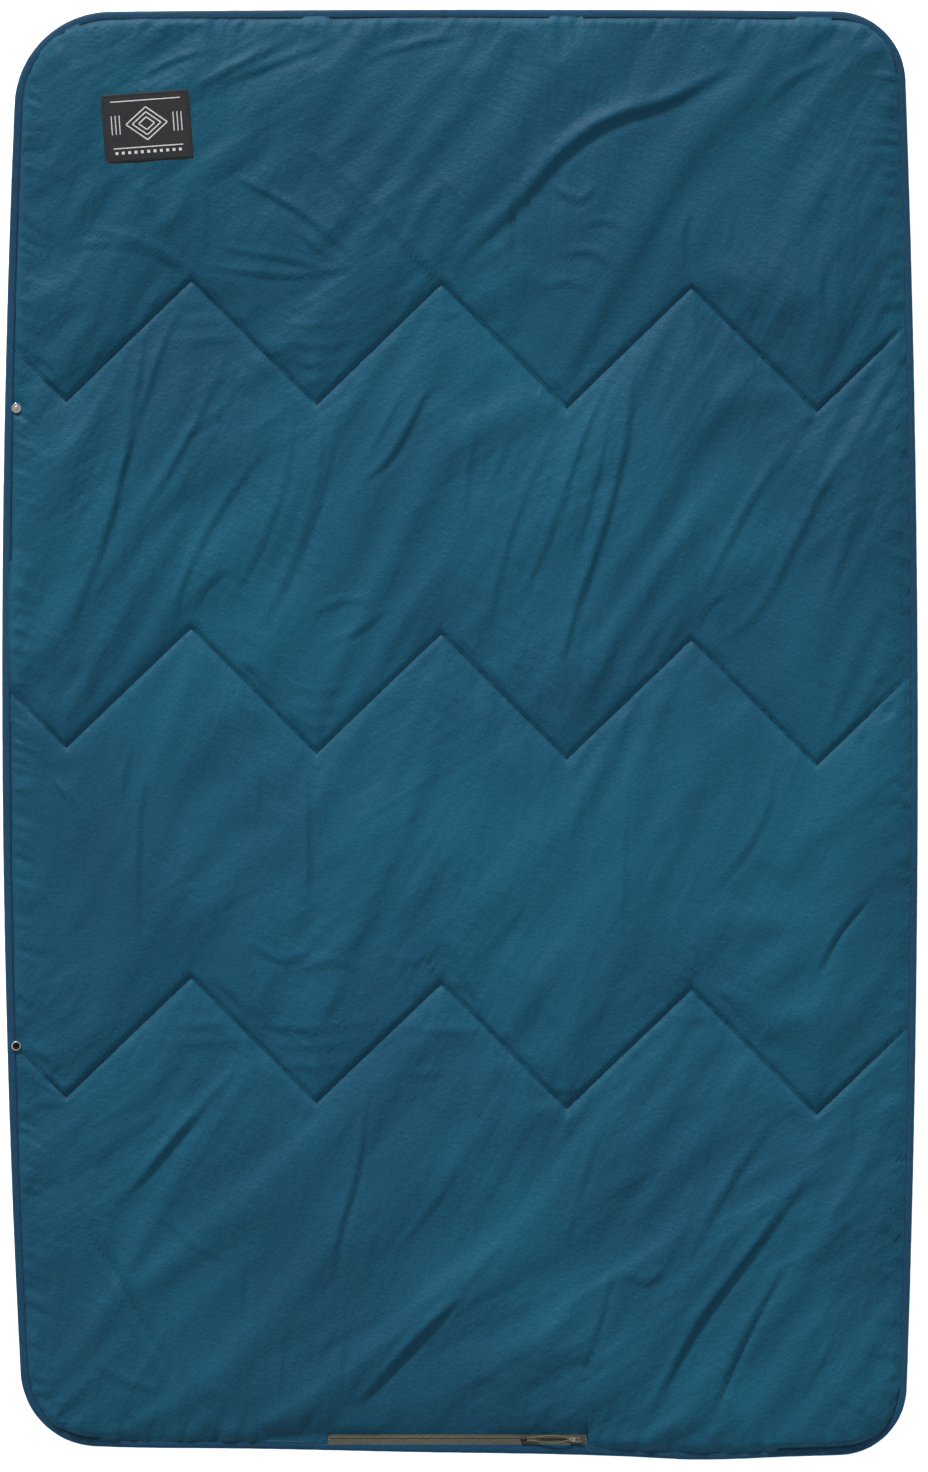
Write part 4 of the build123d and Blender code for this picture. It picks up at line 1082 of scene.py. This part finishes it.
def label_shape(name, outlines, material, lift):
    """Flat shapes that lie on the label: each outline is a list of (u, v) places, filled."""
    bm = bmesh.new()
    for outline in outlines:
        verts = []
        for u, v in outline:
            x, y = on_label(u, v)
            verts.append(bm.verts.new((x * MM, y * MM, (label_z(u, v) + lift) * MM)))
        bm.faces.new(verts)
    bmesh.ops.triangulate(bm, faces=bm.faces[:])
    bmesh.ops.subdivide_edges(bm, edges=[e for e in bm.edges if e.calc_length() > 8 * MM], cuts=5)
    bmesh.ops.triangulate(bm, faces=bm.faces[:])
    for v in bm.verts:
        v.co.z = (label_z(*off_label(v.co.x / MM, v.co.y / MM)) + lift) * MM
    mesh = bpy.data.meshes.new(name)
    bm.to_mesh(mesh)
    bm.free()
    mesh.materials.append(material)
    obj = bpy.data.objects.new(name, mesh)
    bpy.context.scene.collection.objects.link(obj)
    return obj


def band(points, width):
    """A strip of constant width along a line of (u, v) places, as quads."""
    points = np.asarray(points, float)
    tangent = np.gradient(points, axis=0)
    tangent /= np.linalg.norm(tangent, axis=1)[:, None]
    side = np.stack([-tangent[:, 1], tangent[:, 0]], 1) * width / 2
    return [[tuple(points[i] - side[i]), tuple(points[i + 1] - side[i + 1]),
             tuple(points[i + 1] + side[i + 1]), tuple(points[i] + side[i])] for i in range(len(points) - 1)]


def make_label():
    nu, nv = 57, 45
    u, v = np.meshgrid(np.linspace(-0.5, 0.5, nu) * LABEL_SIZE[0], np.linspace(-0.5, 0.5, nv) * LABEL_SIZE[1])
    points = [(*on_label(a, b), label_z(a, b)) for a, b in zip(u.reshape(-1), v.reshape(-1))]
    obj = make_mesh("label", points, grid_faces(nv, nu), MATERIALS["label"])
    thicken(obj, 0.0006)
    riding_piece(obj, "head_half", "label")
    # A generic woven motif: three nested diamonds between two rules, with a row of small squares
    shapes = []
    for size in (26.0, 18.0, 10.0):
        ring = [(size, 4.0), (0, 4.0 + size * 0.8), (-size, 4.0), (0, 4.0 - size * 0.8), (size, 4.0)]
        for a, b in zip(ring, ring[1:]):
            shapes += band([a, b], 1.5)
    for height in (33.5, -25.5):
        shapes += band([(-44, height), (0, height), (44, height)], 1.3)
    for k in range(-5, 6):
        left, right = k * 8 - 1.8, k * 8 + 1.8
        shapes.append([(left, -33.3), (right, -33.3), (right, -29.7), (left, -29.7)])
    for side in (-1, 1):
        for k in range(3):
            x = side * (34 + 5 * k)
            shapes += band([(x, -8), (x, 16)], 1.2)
    motif = label_shape("label_motif", shapes, MATERIALS["motif"], 0.3)
    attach(motif, "head_half")
    edge = [(-52.3, -40.3), (52.3, -40.3), (52.3, 40.3), (-52.3, 40.3), (-52.3, -40.3)]
    places = [(*on_label(a, b), label_z(a, b) + 0.1, angle + LABEL_TILT)
              for a, b, angle in along_line(edge, 2.6)]
    top, faces = stitch_run(places, 2.2, 0.6, 0.4)
    thread = make_mesh("label_stitch", top, faces, MATERIALS["label_thread"])
    riding_piece(thread, "head_half", "label_stitch")


# ---------------------------------------------------------------- snaps

def turned_faces(rings, steps, flip=False):
    """Quads round a form made of rings of points, and its two end caps."""
    faces = []
    for i in range(rings - 1):
        for k in range(steps):
            a, b = ((k + 1) % steps, k) if flip else (k, (k + 1) % steps)
            faces.append([i * steps + a, i * steps + b, (i + 1) * steps + b, (i + 1) * steps + a])
    first, last = list(range(steps)), [(rings - 1) * steps + k for k in range(steps)]
    return faces + ([first, last[::-1]] if flip else [first[::-1], last])


def lathe(name, centre, profile, material, steps=72, dark_inside=0.0):
    """A turned solid from (radius, height) points, with painted shade: a dark metal within a radius."""
    points = []
    for r, z in profile:
        for k in range(steps):
            a = 2 * math.pi * k / steps
            points.append((centre[0] + r * math.cos(a), centre[1] + r * math.sin(a), z))
    obj = make_mesh(name, points, turned_faces(len(profile), steps), material)
    obj.data.materials.append(MATERIALS["recess_shade_metal"])
    for face in obj.data.polygons:
        middle = face.center / MM
        if math.dist(middle[:2], centre) < dark_inside:
            face.material_index = 1
    return obj


def make_snaps():
    z = SNAP_FLOOR
    socket = [
        (1.8, z), (5.7, z), (6.0, z + 0.3), (6.05, z + 1.3), (5.85, z + 1.9), (5.3, z + 2.2),
        (4.6, z + 2.1), (4.05, z + 1.6), (3.85, z + 1.1), (3.7, z + 1.0), (3.05, z + 1.05), (2.95, z + 1.5),
        (2.9, z + 2.8),
        (2.75, z + 2.98), (2.45, z + 2.95), (2.25, z + 2.7), (2.2, z + 0.7), (0.4, z + 0.65),
    ]
    stud = [
        (1.8, z), (5.8, z), (6.1, z + 0.25), (6.15, z + 0.5), (5.9, z + 0.72), (5.2, z + 0.8),
        (4.3, z + 0.66), (3.3, z + 0.6), (2.6, z + 0.68), (2.15, z + 0.9), (1.95, z + 1.3), (2.0, z + 1.8),
        (2.1, z + 2.2),
        (2.05, z + 2.5), (1.7, z + 2.75), (1.1, z + 2.85), (0.3, z + 2.86),
    ]
    for name, y, profile, body in (("snap_socket", SNAP_SOCKET_Y, socket, "foot_half"),
                                   ("snap_stud", SNAP_STUD_Y, stud, "head_half")):
        # Painted shade: the snap socket's recess, within this radius, gets a dark metal.
        dark = 4.2 if name == "snap_socket" else 0
        obj = lathe(name, (SNAP_X, y), profile, MATERIALS["nickel"], dark_inside=dark)
        riding_piece(obj, body, name)
    for name in ("snap_socket_cap", "snap_stud_cap"):
        dress(name, "nickel", 0.0002)


def dress(node, material, bevel=0.0):
    """A CAD part that keeps its shape gets its material, and soft edges."""
    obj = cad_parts[node]
    obj.data.materials.clear()
    obj.data.materials.append(MATERIALS[material])
    if bevel:
        soft = obj.modifiers.new("soft_edges", "BEVEL")
        soft.width, soft.segments, soft.limit_method = bevel, 2, "ANGLE"
        obj.modifiers.new("shading", "WEIGHTED_NORMAL")


# ---------------------------------------------------------------- zip, slider and pull
def make_tape(name, near, far, seed):
    """One zip tape: ribbed weave, a corded inner edge and a little waviness."""
    x = np.linspace(ZIP_X0 - 8, ZIP_X1 + 8, 230)
    side = 1 if far > near else -1
    shares = np.linspace(0, 1, 12)
    rows = []
    for share in shares:
        y = ZIP_Y + near + (far - near) * share
        cord = 0.28 * math.exp(-((share - 0.04) / 0.06) ** 2) + 0.12 * math.exp(-((share - 0.25) / 0.05) ** 2)
        wave = np.array([0.10 * noise.noise((a / 18, share * 2, seed)) for a in x])
        z = 6.45 + cord + wave
        if side < 0 and share > 0.72:
            z = z - 0.5 * (share - 0.72)
        rows.append(np.column_stack([x, np.full(len(x), y), z]))
    rows = np.array(rows if side > 0 else rows[::-1])
    obj = make_mesh(name, rows.reshape(-1, 3), grid_faces(*rows.shape[:2]), MATERIALS["tape"])
    thicken(obj, 0.0005)
    riding_piece(obj, "foot_half", name)


PULL_X, PULL_Z = 150.75, 10.3
CORD_D = 1.8
KNOT_FACE = -66.0
# The loop's route about the pull's pin: from the knot to the eye, down through it, and back to the knot
CORD_ROUTE = [
    (KNOT_FACE, -1.4, -0.5), (-57.0, -1.7, -0.3), (-44.0, -3.8, 0.3), (-31.0, -4.4, 1.2), (-21.0, -2.7, 2.0),
    (-14.5, -0.8, 2.2), (-9.5, 0.0, 2.0), (-9.5, 0.0, -2.0), (-14.5, 0.8, -2.0),
    (-21.0, 2.5, -1.9), (-31.0, 4.5, -1.6), (-44.0, 4.0, -1.3), (-57.0, 1.8, -1.1), (KNOT_FACE, 1.4, -1.0),
]


def make_pull_cord():
    curve = bpy.data.curves.new("zip_pull_cord", "CURVE")
    curve.dimensions = "3D"
    curve.bevel_depth = CORD_D / 2 * MM
    curve.bevel_resolution = 5
    curve.resolution_u = 12
    curve.use_fill_caps = True
    spline = curve.splines.new("NURBS")
    spline.points.add(len(CORD_ROUTE) - 1)
    for point, (x, y, z) in zip(spline.points, CORD_ROUTE):
        point.co = ((PULL_X + x) * MM, (ZIP_Y + y) * MM, (PULL_Z + z) * MM, 1)
    spline.order_u = 3
    spline.use_endpoint_u = True
    obj = bpy.data.objects.new("zip_pull_cord", curve)
    bpy.context.scene.collection.objects.link(obj)
    curve.materials.append(MATERIALS["cord"])
    riding_piece(obj, "zip_pull", "zip_pull_cord")
    knot = make_knot()


def make_knot():
    """The dark end that holds both strands: a soft rounded barrel with two grooves."""
    points, steps, rings = [], 32, 18
    for i in range(rings):
        t = i / (rings - 1)
        x = PULL_X + KNOT_FACE - 9.0 + 9.0 * t
        swell_out = (1 - abs(2 * t - 1) ** 5) ** 0.5 if 0 < t < 1 else 0.02
        groove = 1 - 0.10 * math.exp(-((t - 0.3) / 0.05) ** 2) - 0.10 * math.exp(-((t - 0.7) / 0.05) ** 2)
        for k in range(steps):
            a = 2 * math.pi * k / steps
            r = swell_out * groove
            points.append((x, ZIP_Y + 2.65 * r * math.cos(a), PULL_Z - 0.7 + 2.1 * r * math.sin(a)))
    obj = make_mesh("zip_pull_knot", points, turned_faces(rings, steps, flip=True), MATERIALS["dark_end"])
    riding_piece(obj, "zip_pull", "zip_pull_knot")
    return obj


def make_zip():
    make_tape("zip_tape_upper", 0.35, 11.5, 1.0)
    make_tape("zip_tape_lower", -0.35, -9.5, 9.0)
    for node in ("zip_coil_upper", "zip_coil_lower"):
        dress(node, "coil")
    for node in ("zip_stop_left", "zip_stop_right"):
        dress(node, "zip_metal", 0.0003)
    dress("zip_slider", "dark_metal", 0.0003)
    dress("zip_pull_tab", "zip_metal", 0.0002)
    make_pull_cord()
    y = ZIP_Y + 7.9
    places = [(x, y, EDGE_Z + 0.35, 0.0) for x in np.arange(ZIP_X0, ZIP_X1, 3.1)]
    points, faces = stitch_run(places, 2.4, 0.65, 0.45)
    obj = make_mesh("zip_stitch", points, faces, MATERIALS["thread"])
    riding_piece(obj, "foot_half", "zip_stitch")


def make_pocket():
    for node in ("pocket_front_panel", "pocket_back_panel"):
        dress(node, "lining")
    dress("pocket_seam", "thread")


# ---------------------------------------------------------------- everything
MATERIALS = {
    # The shell's dark colour is bluer and its light colour greener: their broad drift is painted sheen, and
    # their fine spread is the threads' own tone.
    "shell": cloth_material(
        "teal_shell", (0.0088, 0.063, 0.117), (0.0092, 0.081, 0.144), (0.0098, 0.100, 0.167),
        roughness=0.5, sheen=0.0, weave=0.0006, grain=1.0, specular=0.13, crinkle=1.0),
    "binding": cloth_material(
        "navy_binding", (0.006, 0.046, 0.098), (0.009, 0.061, 0.126), (0.013, 0.077, 0.152),
        roughness=0.65, sheen=0.0, weave=0.0009, grain=0.6, specular=0.2),
    "padding": cloth_material(
        "fibre_padding", (0.72, 0.72, 0.70), (0.80, 0.80, 0.78), (0.88, 0.88, 0.86),
        roughness=0.95, sheen=0.4, weave=0.003, grain=1.0),
    "thread": cloth_material(
        "dark_thread", (0.004, 0.012, 0.03), (0.006, 0.017, 0.04), (0.01, 0.024, 0.055),
        roughness=0.7, weave=0.0003, grain=0.4),
    "label": cloth_material(
        "charcoal_label", (0.013, 0.014, 0.017), (0.018, 0.019, 0.023), (0.026, 0.027, 0.032),
        roughness=0.75, weave=0.0007, grain=0.5),
    "label_thread": cloth_material(
        "label_thread", (0.014, 0.015, 0.018), (0.018, 0.019, 0.022), (0.026, 0.027, 0.03),
        roughness=0.7, weave=0.0003),
    "motif": cloth_material(
        "label_motif", (0.50, 0.52, 0.53), (0.62, 0.64, 0.65), (0.75, 0.76, 0.77),
        roughness=0.7, weave=0.0006),
    "lining": cloth_material(
        "pocket_lining", (0.012, 0.08, 0.13), (0.014, 0.09, 0.15), (0.018, 0.11, 0.17)),
    "tape": cloth_material(
        "olive_tape", (0.062, 0.062, 0.044), (0.100, 0.099, 0.074), (0.150, 0.148, 0.115),
        roughness=0.8, weave=0.001, grain=0.7),
    "cord": cloth_material(
        "olive_cord", (0.075, 0.072, 0.045), (0.115, 0.110, 0.070), (0.160, 0.152, 0.100),
        roughness=0.75, weave=0.0009, grain=0.8),
    "coil": cloth_material(
        "zip_coil", (0.03, 0.03, 0.02), (0.05, 0.05, 0.035), (0.07, 0.07, 0.05),
        roughness=0.4),
    "dark_end": cloth_material(
        "dark_end", (0.004, 0.004, 0.005), (0.007, 0.007, 0.008), (0.012, 0.012, 0.013),
        roughness=0.5, weave=0.001),
    "nickel": metal_material("nickel", (0.78, 0.78, 0.77), 0.2),
    "zip_metal": metal_material("zip_metal", (0.72, 0.72, 0.70), 0.28),
    # Painted shade for the snap socket's recess.
    "recess_shade_metal": metal_material("recess_shade_metal", (0.05, 0.05, 0.05), 0.6),
    "dark_metal": metal_material("zip_slider_metal", (0.20, 0.20, 0.17), 0.38),
}

make_camera()
make_zip()
make_stage()
front = make_front_shell()
make_back_shell()
make_padding(front)
make_binding()
make_quilting()
make_binding_stitches()
make_label()
make_snaps()
make_pocket()
